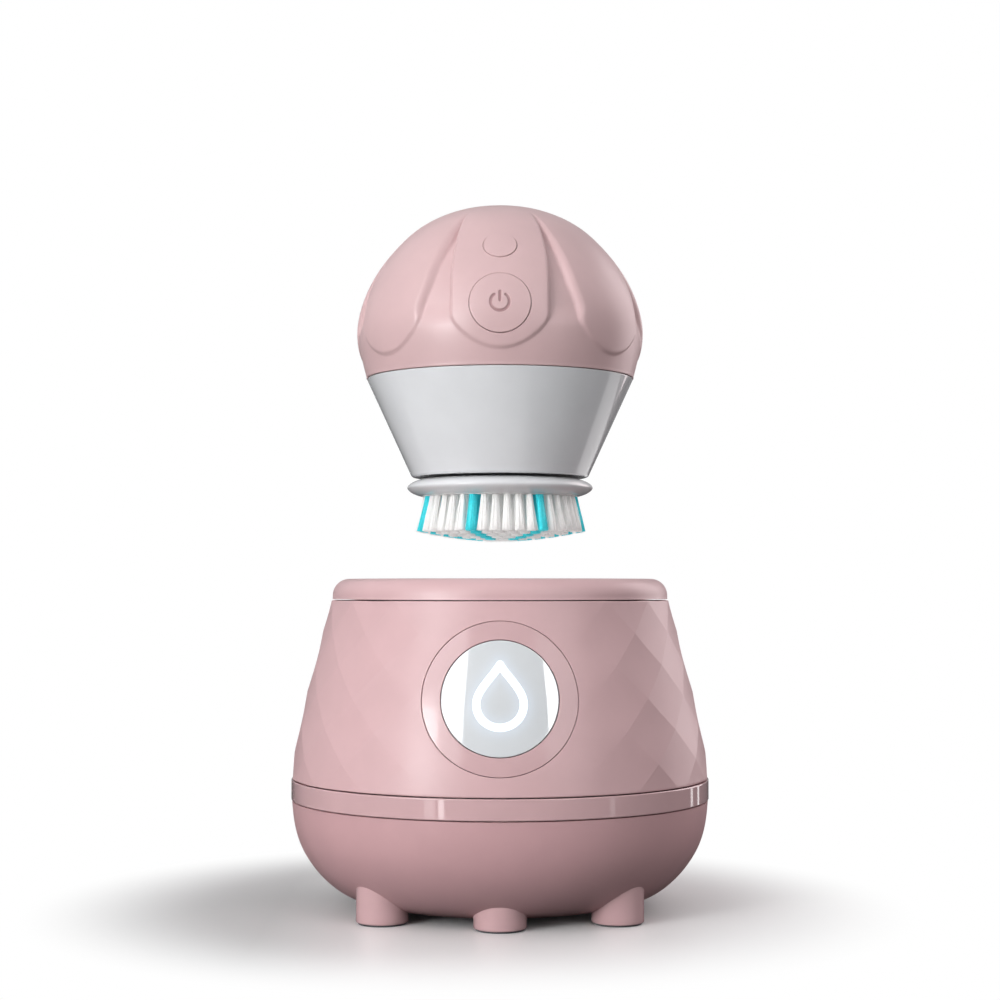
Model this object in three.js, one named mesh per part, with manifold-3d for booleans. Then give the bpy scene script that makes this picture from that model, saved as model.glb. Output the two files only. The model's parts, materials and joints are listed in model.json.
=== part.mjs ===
// Facial cleansing brush, shown lifted above its charging, drying and UV cleaning dock.
// Millimetres, +Z up, front towards -Y, origin on the common axis at the underside of the dock's feet.
import * as THREE from "three";
import { mergeVertices } from "three/addons/utils/BufferGeometryUtils.js";
import Module from "manifold-3d";

const wasm = await Module();
wasm.setup();

// ---------------------------------------------------------------- driving dimensions
const GAP = 0.3; // between two neighbouring pieces
const TURN = 2 * Math.PI;
const DEG = Math.PI / 180;
const ROUND = 40; // sides of the large turned pieces
const PLAIN = 28; // sides of their hidden inner faces
const SMALL = 16; // sides of the small pieces

// dock
const BAND_R = 57;
const BAND_Z = [29.3, 34.7];
const [WALL_LOW, WALL_HIGH] = [35, 83.2];
const WALL_POINTS = [[57, WALL_LOW], [56, 43.5], [54, 53.2], [51.7, 63], [49.3, 72], [46.65, WALL_HIGH]];
const BOWL_TOP_Z = 29;
const BOWL_FLOOR = [0, 1.8]; // the underside rises slightly to the middle
const BOWL_POINTS = [
  [35.5, 2],
  [42, 3.9],
  [47.1, 7.3],
  [51.6, 12.3],
  [54.5, 17.4],
  [56.2, 23.5],
  [56.8, BOWL_TOP_Z],
];
const BOWL_FLOOR_Z = 4.2; // its inner side
const RIM_TOP_Z = 89;
const RIM_ARC = { r: 41.5, radius: 4.5 }; // outer rounding of the rim
const RIM_LIP = { r: 38.4, radius: 1.7 }; // inner rounding, down into the seat
const SEAT_FOOT_Z = 80.6; // lower end of the conical seat
const SEAT_PLAY = 0.4;
const WALL = 2.4;
const FOOT_R = 6.8;
const FOOT_EDGE = 0.8; // softened lower edge
const FOOT_CIRCLE_R = 43;
const FOOT_FRONT_R = 39.5; // the front foot stands a little further in
const FOOT_ANGLES = [0, 45, 135, 180, 225, 315]; // from the front, counter-clockwise seen from above
const WINDOW_Z = 59.2;
const WINDOW_TILT = 13 * DEG; // the front wall leans back by this much
const WINDOW_REACH = 52.6; // from the axis to the wall at the window's centre
const BEZEL_R = 19.6;
const LENS_R = 14.7;
const WELL_FLOOR_Z = 38;
const WELL_R = 28.6;
const WELL_WALL = 2;
const LAMP_R = 9; // the round window in the well's floor
const LEG_CIRCLE_R = 33; // screw bosses that join bowl, wall and well
const LEG_ANGLES = [60, 180, 300];
const LEG_R = 3.4;
const LEG_BORE_R = 1.7;
const FAN_SIDE = 46;
const FAN_TUNNEL_R = 21.5;
const FAN_Z = 12;
const FAN_DEPTH = 12;
const FAN_BLADES = 7;
const INLET_Z = 17; // height of the barrel inlet at the back
const BASE_SCREW = { z: 3.2, head: 2.6, shank: 1.3, length: 31 };

// diamond relief of the dock's wall
const DIAMOND_START = 25.3; // the first column of diamonds on either side of the window, degrees
const DIAMOND_PITCH = 20.62; // 15 columns round the back
const DIAMOND_HEIGHT = 16.6;
const DIAMOND_Z = 58.2;
const DIAMOND_SAG = 0.875; // twice the depth of a facet's middle below its corners

// brush, measured from the lower edge of its collar
const BRUSH_Z = 117; // height of that edge above the floor in the lifted pose
const DOCK_DROP = 54; // how far the brush comes down to sit in the dock
const CONE_R = 24.28;
const CONE_SLOPE = 0.4623; // growth of the collar's radius with height
const CONE_TOP_Z = 27.1;
const CONE_WALL = 2.3;
const DOME_Z = 27.45;
const DOME_TOP_Z = 74.9;
const DOME_POINTS = [
  [37.4, DOME_Z],
  [39.35, 36.5],
  [39.5, 41],
  [38.2, 47.4],
  [34.8, 55],
  [29.1, 62.7],
  [22.9, 68.4],
  [16.4, 72],
  [8.7, 74.3],
  [0, DOME_TOP_Z],
];
const DOME_WALL = 2.5;
const PETALS = 7;
const PETAL_RISE = 0.9;
const PETAL_HALF = 19; // half the width of a petal at its widest, degrees
const PETAL_SIDE_Z = 40; // below this height a petal's outline rounds in to its lowest point
const PETAL_TIP_Z = 31.6;
const VALLEY_TOP_Z = 70.5; // above it the petals run together into a smooth crown
const POWER_BUTTON = { reach: 39.4, z: 43.3, tilt: 7 * DEG, r: 8.0 };
const SPEED_BUTTON = { reach: 31.9, z: 59.3, tilt: 37 * DEG, r: 4.4 };
const BUTTON_DEPTHS = { seal: 4.4, switchTip: 6.2, board: 11.4 }; // inwards from the dome's surface

// drive train
const GEAR_MODULE = 0.65;
const GEAR_TEETH = 40;
const PINION_TEETH = 10;
const GEAR_Z = [6.4, 9.4];
const SHAFT_R = 2.5;
const HEX_Z = [-3.2, -0.4]; // the hexagon that drives the brush head
const HEX_R = 2.9;
const BEARING_R = 4.7; // outer radius of the shaft's seal and lower bearing
const BUSH_R = 3.8;
const BASE_TOP_Z = 2.4;
const MOTOR_OFFSET = (GEAR_MODULE * (GEAR_TEETH + PINION_TEETH)) / 2;
const POST_CIRCLE_R = 19.5;
const POST_ANGLES = [0, 120, 240];
const POST_R = 3;
const POST_BORE_R = 1.2;
const CHASSIS_SCREW = { z: 0.35, head: 2.3, shank: 0.85, length: 7 };
const DECK_Z = [10.4, 12.4];
const MOTOR_R = 10;
const MOTOR_TOP_Z = 34;
const BATTERY = { r: 9, length: 40, y: 2, z: 47 };

// brush head, below the collar
const FLANGE_TOP_Z = -0.5;
const FLANGE_LOW_Z = -4.7;
const FLANGE_EDGE = { r: 25.62, reach: 5, power: 1.7 }; // a pointed oval in section
const PLATE_Z = [-5.5, -5];
const TUFT_Z = -5.8;
const TUFT_BASE_R = 21.5;
const TUFT_TIP_R = 23.7;
const TUFT_TIP_Z = -15;
const TUFT_CENTRE_Z = -17.8;
const SPOKES = 7;
const SPOKE_START = 31; // azimuth of the first coloured row, degrees
const SPOKE_WIDTH = 1.8;
const SPOKE_R = [4.6, TUFT_TIP_R];

// ---------------------------------------------------------------- finishes
const finish = (color, roughness, metalness = 0) =>
  new THREE.MeshStandardMaterial({ color, roughness, metalness });
const PINK_SOFT = finish(0xd9a9aa, 0.5);
const PINK_SATIN = finish(0xd3a2a3, 0.38);
const PINK_GLOSS = finish(0xd6a4a5, 0.15);
const GREY_GLOSS = finish(0xd4d6da, 0.18);
const WHITE = finish(0xf0f0ee, 0.35);
const CYAN = finish(0x2cc8dc, 0.4);
const LENS_WHITE = finish(0xe9ebee, 0.08);
const GLOW = finish(0xffffff, 0.3);
const STEEL = finish(0xb8bcc0, 0.3, 1);
const BRASS = finish(0xc9a04e, 0.35, 1);
const COPPER = finish(0xb5683a, 0.4, 1);
const BOARD_GREEN = finish(0x1f6b3a, 0.6);
const BLACK = finish(0x202022, 0.6);
const RUBBER = finish(0x8d8f92, 0.8);
const NATURAL = finish(0xdedacf, 0.5);
const BATTERY_BLUE = finish(0x3a6ea8, 0.4);

// ---------------------------------------------------------------- geometry helpers
// A closed geometry as a solid that can be joined and cut.
function solid(geometry) {
  const bare = new THREE.BufferGeometry();
  const loose = geometry.index ? geometry.toNonIndexed() : geometry;
  bare.setAttribute("position", loose.getAttribute("position"));
  const merged = mergeVertices(bare, 1e-4);
  return new wasm.Manifold(
    new wasm.Mesh({
      numProp: 3,
      vertProperties: merged.getAttribute("position").array,
      triVerts: new Uint32Array(merged.index.array),
    }),
  );
}

// A solid back as a geometry.
function geometryOf(body) {
  const mesh = body.getMesh();
  const geometry = new THREE.BufferGeometry();
  geometry.setAttribute("position", new THREE.BufferAttribute(mesh.vertProperties, 3));
  geometry.setIndex(new THREE.BufferAttribute(mesh.triVerts, 1));
  const flat = geometry.toNonIndexed();
  flat.computeVertexNormals();
  return flat;
}

const join = (first, ...rest) => geometryOf(rest.reduce((a, b) => a.add(solid(b)), solid(first)));
const cut = (first, ...rest) => geometryOf(rest.reduce((a, b) => a.subtract(solid(b)), solid(first)));
const common = (a, b) => geometryOf(solid(a).intersect(solid(b)));

// Turns a profile of [radius, height] points about Z. The profile runs up the outside and down the inside.
function turned(profile, sides = ROUND) {
  const points = profile.map(([r, z]) => new THREE.Vector2(r, z));
  return new THREE.LatheGeometry(points, sides).rotateX(Math.PI / 2);
}

// The same for a ring-shaped profile, which closes on itself.
const ring = (profile, sides) => turned([...profile, profile[0]], sides);

// A plain ring of rectangular section.
const washer = (inner, outer, z0, z1, sides) =>
  ring([[outer, z0], [outer, z1], [inner, z1], [inner, z0]], sides);

// A cylinder along Z between two heights.
const rod = (r, z0, z1, sides = SMALL) =>
  turned([[0, z0], [r, z0], [r, z1], [0, z1]], sides);

// A block given by its centre in plan, its size and its lower height.
const block = (x, y, z, width, depth, height) =>
  new THREE.BoxGeometry(width, depth, height).translate(x, y, z + height / 2);

// Points along a smooth curve through [radius, height] points.
function smooth(points, count) {
  const curve = new THREE.SplineCurve(points.map(([r, z]) => new THREE.Vector2(r, z)));
  return curve.getPoints(count).map((p) => [Math.max(p.x, 0), p.y]);
}

// An arc of a profile about [r, z], from one angle to another in degrees.
function arc(r, z, radius, from, to, count) {
  return Array.from({ length: count + 1 }, (_, i) => {
    const angle = (from + ((to - from) * i) / count) * DEG;
    return [r + radius * Math.cos(angle), z + radius * Math.sin(angle)];
  });
}

// A point on a circle, by its angle from the front (-Y) towards +X.
const around = (radius, degrees) => [
  radius * Math.sin(degrees * DEG),
  -radius * Math.cos(degrees * DEG),
];

// Pulls each vertex of a turned geometry towards the axis by depthAt(azimuth in degrees, height).
function sunk(geometry, depthAt) {
  const position = geometry.getAttribute("position");
  for (let i = 0; i < position.count; i += 1) {
    const [x, y, z] = [position.getX(i), position.getY(i), position.getZ(i)];
    const r = Math.hypot(x, y);
    if (r < 1) continue;
    const keep = 1 - depthAt(Math.atan2(x, -y) / DEG, z) / r;
    position.setXY(i, x * keep, y * keep);
  }
  return geometry;
}

// Turns local +Z towards the outward normal of a wall that faces the front and leans back by tilt.
function facing(geometry, reach, z, tilt) {
  return geometry.rotateX(Math.PI / 2 - tilt).translate(0, -reach, z);
}

const step = (low, high, value) => THREE.MathUtils.smoothstep(value, low, high);

function node(name, geometry, material, parent) {
  const mesh = new THREE.Mesh(geometry, material);
  mesh.name = name;
  parent.add(mesh);
  return mesh;
}

const root = new THREE.Group();
const dock = new THREE.Group();
const brush = new THREE.Group();
brush.position.z = BRUSH_Z;
root.add(dock, brush);

// ---------------------------------------------------------------- dock: outer shells
const wallCurve = (count) => smooth(WALL_POINTS, count);
const bowlCurve = (count) => [BOWL_FLOOR, ...smooth(BOWL_POINTS, count)];

// Depth of the diamond relief: the corners of every diamond lie on the round wall and its face is flat.
// The diamonds next to the window run out into the wall with their inner corner.
function diamondDepth(azimuth, z) {
  const across = (Math.abs(azimuth) - DIAMOND_START) / DIAMOND_PITCH;
  const up = (z - DIAMOND_Z) / DIAMOND_HEIGHT;
  const column = Math.floor(across + up) + Math.floor(across - up);
  const u = across + up - Math.floor(across + up);
  const v = across - up - Math.floor(across - up);
  if (column < -1) return 0;
  const [fadeU, fadeV] = column < 0 ? [v ** 3, u ** 3] : [1, 1];
  return DIAMOND_SAG * (u * (1 - u) * fadeU + v * (1 - v) * fadeV);
}

// The dock's wall as one closed sleeve, before the window is cut out of it.
function wallSleeve() {
  const outer = [[0, WALL_LOW], ...wallCurve(12), [0, WALL_HIGH]];
  const inner = wallCurve(4).map(([r, z]) => [r - WALL, z]);
  const bore = [[0, WALL_LOW - 1], [inner[0][0], WALL_LOW - 1], ...inner];
  const top = inner[inner.length - 1][0];
  const hollow = turned([...bore, [top, WALL_HIGH + 1], [0, WALL_HIGH + 1]], PLAIN);
  return cut(sunk(turned(outer, 52), diamondDepth), hollow);
}

const throughWindow = (r) =>
  facing(rod(r, -12, 12, 32), WINDOW_REACH, WINDOW_Z, WINDOW_TILT);
const sleeve = wallSleeve();
const front = block(0, -WINDOW_REACH, WALL_LOW, 60, 40, 48);
const bezelBlank = common(common(sleeve, front), throughWindow(BEZEL_R));
node("body_shell", cut(sleeve, throughWindow(BEZEL_R + GAP)), PINK_SATIN, dock);
node("window_bezel", cut(bezelBlank, throughWindow(LENS_R + GAP)), PINK_GLOSS, dock);
node("window_lens", common(bezelBlank, throughWindow(LENS_R)), LENS_WHITE, dock);

// Rim: a rounded top edge, then a conical seat that the brush's collar rests in.
const seatAt = (z) => CONE_R + CONE_SLOPE * (z - BRUSH_Z + DOCK_DROP) + SEAT_PLAY;
const rimProfile = [
  [46.05, WALL_HIGH + GAP],
  ...arc(RIM_ARC.r, RIM_TOP_Z - RIM_ARC.radius, RIM_ARC.radius, 0, 90, 3),
  ...arc(RIM_LIP.r, RIM_TOP_Z - RIM_LIP.radius, RIM_LIP.radius, 90, 155, 2),
  [seatAt(SEAT_FOOT_Z), SEAT_FOOT_Z],
  [seatAt(SEAT_FOOT_Z) + 2.4, SEAT_FOOT_Z],
  [39.2, RIM_TOP_Z - 2.6],
  [43, RIM_TOP_Z - 2.6],
  [43.6, WALL_HIGH + GAP],
];
node("rim_ring", ring(rimProfile), PINK_GLOSS, dock);

const bandProfile = [
  [BAND_R - 4.4, BAND_Z[0]],
  [BAND_R - 0.2, BAND_Z[0]],
  [BAND_R, BAND_Z[0] + 0.3],
  [BAND_R, BAND_Z[1] - 0.3],
  [BAND_R - 0.2, BAND_Z[1]],
  [BAND_R - 4.4, BAND_Z[1]],
];
node("band_ring", ring(bandProfile), PINK_GLOSS, dock);

// Screw bosses and air slots of the dock's floor, and the inlet's hole at the back.
const BOSS_TOP_Z = FAN_Z + FAN_DEPTH;
const backwards = (geometry, y) => geometry.rotateX(-Math.PI / 2).translate(0, y, INLET_Z);

function onLegs(geometryAt) {
  return LEG_ANGLES.map((angle) => geometryAt(...around(LEG_CIRCLE_R, angle)));
}

function bowl() {
  const outside = [...bowlCurve(9), [0, BOWL_TOP_Z]];
  const cavity = bowlCurve(6).map(([r, z]) => [r * (1 - WALL / BAND_R), z + WALL * (1 - z / BOWL_TOP_Z)]);
  const lip = BOWL_TOP_Z + 1;
  const hollow = [...cavity, [cavity[cavity.length - 1][0], lip], [0, lip]];
  const bosses = onLegs((x, y) => rod(LEG_R, BOWL_FLOOR_Z - 1, BOSS_TOP_Z, 12).translate(x, y, 0));
  const bores = onLegs((x, y) => rod(LEG_BORE_R, 0, BOWL_TOP_Z + 1, 8).translate(x, y, 0));
  const sinks = onLegs((x, y) => rod(3, 0, 5, 12).translate(x, y, 0));
  const slots = [-2, -1, 0, 1, 2].map((i) => block(i * 6, 0, 0, 2.4, 26, 8));
  const inlet = backwards(rod(5.1, -8, 16), 50);
  const shell = join(cut(turned(outside), turned(hollow, PLAIN)), ...bosses);
  return cut(shell, ...bores, ...sinks, ...slots, inlet);
}
node("bowl_shell", bowl(), PINK_SATIN, dock);

// Each foot is a short pillar with a softened lower edge, scribed to the bowl above it.
const bowlEnvelope = turned(
  [...bowlCurve(9).map(([r, z]) => [r > 0 ? r + GAP / 2 : 0, z - GAP]), [0, BOWL_TOP_Z]],
  ROUND,
);
FOOT_ANGLES.forEach((angle, i) => {
  const [x, y] = around(angle === 0 ? FOOT_FRONT_R : FOOT_CIRCLE_R, angle);
  const profile = [[0, 0], [FOOT_R - FOOT_EDGE, 0], [FOOT_R, FOOT_EDGE], [FOOT_R, 14], [0, 14]];
  const pillar = turned(profile, SMALL).translate(x, y, 0);
  node(`foot_${i + 1}`, cut(pillar, bowlEnvelope), PINK_SATIN, dock);
});

// ---------------------------------------------------------------- dock: well and what surrounds it
const WELL_TOP_Z = SEAT_FOOT_Z - GAP;

// Radius of the well's inside: straight below, then opening up to follow the collar.
const wellRadius = (z) => Math.max(WELL_R, seatAt(z) + 0.5);

function well() {
  const mouth = wellRadius(WELL_TOP_Z);
  const floor = [[0, WELL_FLOOR_Z], [25, WELL_FLOOR_Z], [WELL_R, WELL_FLOOR_Z + 4]];
  const outer = [
    [WELL_R - 1.6, WELL_FLOOR_Z - WELL_WALL],
    [WELL_R + WELL_WALL, WELL_FLOOR_Z + 3],
    [WELL_R + WELL_WALL, 69],
    [mouth + WELL_WALL, WELL_TOP_Z],
  ];
  const inner = [[mouth, WELL_TOP_Z], [WELL_R, 70], ...[...floor].reverse()];
  const cup = turned([[0, WELL_FLOOR_Z - WELL_WALL], ...outer, ...inner]);
  const legs = onLegs((x, y) => rod(LEG_R, BOSS_TOP_Z + GAP, WELL_FLOOR_Z + 8, 12).translate(x, y, 0));
  const bores = onLegs((x, y) => rod(LEG_BORE_R, BOSS_TOP_Z - 1, WELL_FLOOR_Z, 8).translate(x, y, 0));
  const inside = turned([...floor, [WELL_R, 60], [0, 60]]);
  const lampHole = rod(LAMP_R + GAP, WELL_FLOOR_Z - 4, WELL_FLOOR_Z + 4);
  const vents = Array.from({ length: 6 }, (_, i) =>
    block(0, -18, WELL_FLOOR_Z - 4, 3, 9, 8).rotateZ((i * TURN) / 6),
  );
  return cut(join(cup, ...legs), ...bores, inside, lampHole, ...vents);
}
node("well_cup", well(), WHITE, dock);
node("uv_window", rod(LAMP_R, WELL_FLOOR_Z - WELL_WALL, WELL_FLOOR_Z + 0.3), LENS_WHITE, dock);

const lampRing = Array.from({ length: 3 }, (_, i) =>
  rod(1.8, WELL_FLOOR_Z - 4.6, WELL_FLOOR_Z - 2.6, 8).translate(4.5, 0, 0).rotateZ((i * TURN) / 3),
);
node("uv_led_board", join(rod(10.5, WELL_FLOOR_Z - 6, WELL_FLOOR_Z - 4.5), ...lampRing), BOARD_GREEN, dock);
node("charge_coil", washer(32.4, 34.6, 66, 71, PLAIN), COPPER, dock);

// Status window: a light board behind a drop-shaped light guide behind the lens.
function dropShape(size) {
  const shape = new THREE.Shape();
  shape.moveTo(0, 1.45 * size);
  shape.bezierCurveTo(0.35 * size, 0.85 * size, size, 0.35 * size, size, -0.25 * size);
  shape.absarc(0, -0.25 * size, size, 0, -Math.PI, true);
  shape.bezierCurveTo(-size, 0.35 * size, -0.35 * size, 0.85 * size, 0, 1.45 * size);
  return shape;
}
const extruded = (shape, depth, curveSegments = 8) =>
  new THREE.ExtrudeGeometry(shape, { depth, bevelEnabled: false, curveSegments });
const LENS_BACK = -3.4; // behind the wall's surface, along the window's axis
const dropOutline = cut(extruded(dropShape(5.4), 1), extruded(dropShape(3.6), 3).translate(0, 0, -1));
const inWindow = (geometry) => facing(geometry, WINDOW_REACH, WINDOW_Z, WINDOW_TILT);
node("drop_light_guide", inWindow(dropOutline.translate(0, 0, LENS_BACK - 1.5)), GLOW, dock);
const windowLeds = [-5, 5].map((x) => block(x, 0, LENS_BACK - 3.7, 3, 3, 1));
const windowBoard = join(block(0, 0, LENS_BACK - 5, 22, 22, 1.4), ...windowLeds);
node("window_led_board", inWindow(windowBoard), BOARD_GREEN, dock);

// ---------------------------------------------------------------- dock: fan, board, inlet and screws
function fanHousing() {
  const top = FAN_Z + FAN_DEPTH;
  const frame = block(0, 0, FAN_Z, FAN_SIDE, FAN_SIDE, FAN_DEPTH - GAP);
  const tunnel = rod(FAN_TUNNEL_R, FAN_Z - 1, top + 1, 32);
  const motorSeat = rod(8, FAN_Z, FAN_Z + 3);
  const struts = [0, 1, 2].map((i) => block(0, -14, FAN_Z, 3, 16, 2).rotateZ((i * TURN) / 3));
  return join(cut(frame, tunnel), motorSeat, ...struts);
}
node("fan_housing", fanHousing(), BLACK, dock);

function fanRotor() {
  const low = FAN_Z + 3.6;
  const blades = Array.from({ length: FAN_BLADES }, (_, i) =>
    new THREE.BoxGeometry(0.9, 13, 8)
      .rotateY(40 * DEG)
      .translate(0, -14, low + 3.6)
      .rotateZ((i * TURN) / FAN_BLADES),
  );
  return join(rod(8.6, low, low + 7.4, 24), ...blades);
}
node("fan_rotor", fanRotor(), BLACK, dock);
node("dock_board", block(0, -33.5, FAN_Z, 46, 13, 1.6), BOARD_GREEN, dock);

// Barrel inlet at the back: a sleeve with a centre pin on its closed inner end.
const inletProfile = [[0, 0], [4.8, 0], [4.8, 12.4], [3.2, 12.4], [3.2, 2], [1, 2], [1, 9.5], [0, 10.2]];
node("power_inlet", backwards(turned(inletProfile, SMALL), 41.2), BLACK, dock);

function screw({ head, shank, length }) {
  const headZ = shank * 1.2;
  const point = [0, length + shank];
  return turned([[0, 0], [head, 0], [head, headZ], [shank, headZ], [shank, length], point], 8);
}
LEG_ANGLES.forEach((angle, i) => {
  const mesh = node(`base_screw_${i + 1}`, screw(BASE_SCREW), STEEL, dock);
  mesh.position.set(...around(LEG_CIRCLE_R, angle), BASE_SCREW.z);
});

// ---------------------------------------------------------------- brush: dome and buttons
const domeCurve = (count) => smooth(DOME_POINTS, count);

// Depth below the petals' crests: full in the tapered valleys and in the band under the petals.
function petalDepth(azimuth, z) {
  const pitch = 360 / PETALS;
  const off = Math.abs(azimuth - pitch * Math.round(azimuth / pitch));
  const rise = Math.max(0, (z - PETAL_SIDE_Z) / (VALLEY_TOP_Z - PETAL_SIDE_Z));
  const halfWidth = PETAL_HALF + (pitch / 2 - PETAL_HALF) * rise ** 1.6;
  const sag = Math.max(0, (PETAL_SIDE_Z - z) / (PETAL_SIDE_Z - PETAL_TIP_Z));
  return PETAL_RISE * step(0.96, 1.1, Math.hypot(off / halfWidth, sag));
}

function domeSolid() {
  const outer = turned([[0, DOME_Z], ...domeCurve(12)], PETALS * 8);
  return sunk(outer, (azimuth, z) => (z > VALLEY_TOP_Z ? 0 : petalDepth(azimuth, z)));
}

// The dome's inside, set in by a thickness and open below.
function domeCavity(thickness) {
  const height = DOME_TOP_Z - DOME_Z;
  const wall = domeCurve(8).map(([r, z]) => [
    Math.max(r - thickness - PETAL_RISE, 0),
    z - (thickness * (z - DOME_Z)) / height,
  ]);
  const mouth = [wall[0][0], DOME_Z - 1];
  const inside = wall.filter(([r]) => r > 0);
  return turned([[0, DOME_Z - 1], mouth, ...inside, [0, DOME_TOP_Z - thickness]], PLAIN);
}

const throughButton = (button, r) =>
  facing(rod(r, -8, 6, 24), button.reach, button.z, button.tilt);
const gasketRecess = rod(35.7, DOME_Z - 1, DOME_Z + 0.4, ROUND);
const domeWall = cut(domeSolid(), domeCavity(DOME_WALL), gasketRecess);
const domeFront = block(0, -40, DOME_Z, 30, 60, 60);
const openings = [POWER_BUTTON, SPEED_BUTTON].map((b) => throughButton(b, b.r + GAP));
node("dome_shell", cut(domeWall, ...openings), PINK_SOFT, brush);

// A button is the piece of the dome's wall inside its opening.
const buttonBlank = (button) => common(common(domeWall, domeFront), throughButton(button, button.r));

// Power sign, engraved: a ring open at the top with an upright bar.
function powerSign() {
  const arcShape = new THREE.Shape();
  arcShape.absarc(0, 0, 3.1, 130 * DEG, 410 * DEG, false);
  arcShape.absarc(0, 0, 2.4, 410 * DEG, 130 * DEG, true);
  const sign = join(extruded(arcShape, 4, 10), block(0, 2, 0, 0.7, 3.4, 4));
  return facing(sign.translate(0, 0, -0.45), POWER_BUTTON.reach, POWER_BUTTON.z, POWER_BUTTON.tilt);
}
node("power_button", cut(buttonBlank(POWER_BUTTON), powerSign()), PINK_SOFT, brush);
node("speed_button", buttonBlank(SPEED_BUTTON), PINK_SOFT, brush);

// Soft membrane behind both buttons, a bent board and the two switches on it.
const sealDepth = BUTTON_DEPTHS.seal - PETAL_RISE;
const sealShell = cut(domeCavity(sealDepth), domeCavity(sealDepth + 0.6));
node("button_seal", common(sealShell, block(0, -30, 33, 22, 40, 33)), RUBBER, brush);

function boardPlate(button, low, high) {
  const plate = block(0, 0, -BUTTON_DEPTHS.board - 1, 14, high - low, 1);
  return facing(plate.translate(0, (low + high) / 2, 0), button.reach, button.z, button.tilt);
}
const bentBoard = join(boardPlate(POWER_BUTTON, -7, 4.6), boardPlate(SPEED_BUTTON, -8, 5));
node("button_board", bentBoard, BOARD_GREEN, brush);

function tactSwitch(button) {
  const tip = -BUTTON_DEPTHS.switchTip;
  const base = -BUTTON_DEPTHS.board + GAP;
  const body = block(0, 0, base, 6, 6, 3.4);
  return facing(join(body, rod(1.6, base + 1, tip, 12)), button.reach, button.z, button.tilt);
}
node("power_switch", tactSwitch(POWER_BUTTON), STEEL, brush);
node("speed_switch", tactSwitch(SPEED_BUTTON), STEEL, brush);

// ---------------------------------------------------------------- brush: collar, base plate and chassis
const coneAt = (z) => CONE_R + CONE_SLOPE * z;
const collarProfile = [
  [coneAt(0) - 0.5, 0],
  [coneAt(0.3), 0.3],
  [coneAt(CONE_TOP_Z - 0.4), CONE_TOP_Z - 0.4],
  [coneAt(CONE_TOP_Z) - 0.4, CONE_TOP_Z],
  [35.9, CONE_TOP_Z],
  [35.9, CONE_TOP_Z - 1],
  [coneAt(CONE_TOP_Z - 1) - CONE_WALL, CONE_TOP_Z - 1],
  [coneAt(0) - CONE_WALL, 0],
];
node("collar_shell", ring(collarProfile), GREY_GLOSS, brush);
node("body_seal", washer(34.4, 35.4, CONE_TOP_Z - 0.7, CONE_TOP_Z + 0.4, PLAIN), BLACK, brush);

const onPosts = (geometryAt) => POST_ANGLES.map((angle) => geometryAt(...around(POST_CIRCLE_R, angle)));

function basePlate() {
  const bores = onPosts((x, y) => rod(POST_BORE_R, 0, 4, 8).translate(x, y, 0));
  const sinks = onPosts((x, y) => rod(2.7, 0, 1.4, 10).translate(x, y, 0));
  const boss = rod(BEARING_R + 2.3, 0.4, 5.6);
  const plate = join(rod(21.4, 0.4, BASE_TOP_Z, PLAIN), boss);
  return cut(plate, rod(BEARING_R + GAP, 0, 6), ...bores, ...sinks);
}
node("base_plate", basePlate(), WHITE, brush);

function chassisDeck() {
  const [low, high] = DECK_Z;
  const posts = onPosts((x, y) => rod(POST_R, BASE_TOP_Z + GAP, low + 0.6, 10).translate(x, y, 0));
  const bores = onPosts((x, y) => rod(POST_BORE_R, 2, low - 0.9, 8).translate(x, y, 0));
  const bushHole = rod(BUSH_R + GAP, low - 1, high + 1);
  const shaftHole = rod(1.8, low - 1, high + 1, 8).translate(0, MOTOR_OFFSET, 0);
  return cut(join(rod(25.6, low, high, PLAIN), ...posts), bushHole, shaftHole, ...bores);
}
node("chassis_deck", chassisDeck(), NATURAL, brush);
POST_ANGLES.forEach((angle, i) => {
  const mesh = node(`chassis_screw_${i + 1}`, screw(CHASSIS_SCREW), STEEL, brush);
  mesh.position.set(...around(POST_CIRCLE_R, angle), CHASSIS_SCREW.z);
});

node("lower_bearing", washer(SHAFT_R + 0.1, BEARING_R, 2.5, 5.3, SMALL), STEEL, brush);
node("shaft_seal", washer(SHAFT_R + 0.2, BEARING_R, 0.6, 2.2, SMALL), BLACK, brush);
node("upper_bush", washer(SHAFT_R + 0.1, BUSH_R, 10, 13, SMALL), BRASS, brush);
node("receiver_coil", washer(22.8, 24.2, 5.7, 9.7, PLAIN), COPPER, brush);

// ---------------------------------------------------------------- brush: drive train
// A spur gear outline with straight-sided teeth, thinned a little for backlash.
function gearShape(teeth) {
  const pitchR = (GEAR_MODULE * teeth) / 2;
  const [tip, base] = [pitchR + 0.75 * GEAR_MODULE, pitchR - 1.1 * GEAR_MODULE];
  const corners = [[base, -0.34], [tip, -0.13], [tip, 0.13], [base, 0.34]];
  const points = Array.from({ length: teeth }, (_, i) =>
    corners.map(([r, offset]) => {
      const angle = ((i + offset) * TURN) / teeth;
      return new THREE.Vector2(r * Math.cos(angle), r * Math.sin(angle));
    }),
  ).flat();
  return new THREE.Shape(points);
}

function gear(teeth, boreR, [low, high]) {
  const shape = gearShape(teeth);
  shape.holes.push(new THREE.Path().absarc(0, 0, boreR, 0, TURN, true));
  return extruded(shape, high - low, 6).translate(0, 0, low);
}
// A tooth of the wheel points at the motor, and a gap of the pinion faces it.
const wheel = gear(GEAR_TEETH, SHAFT_R + GAP, GEAR_Z).rotateZ(Math.PI / 2);
node("drive_gear", wheel, NATURAL, brush);

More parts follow.
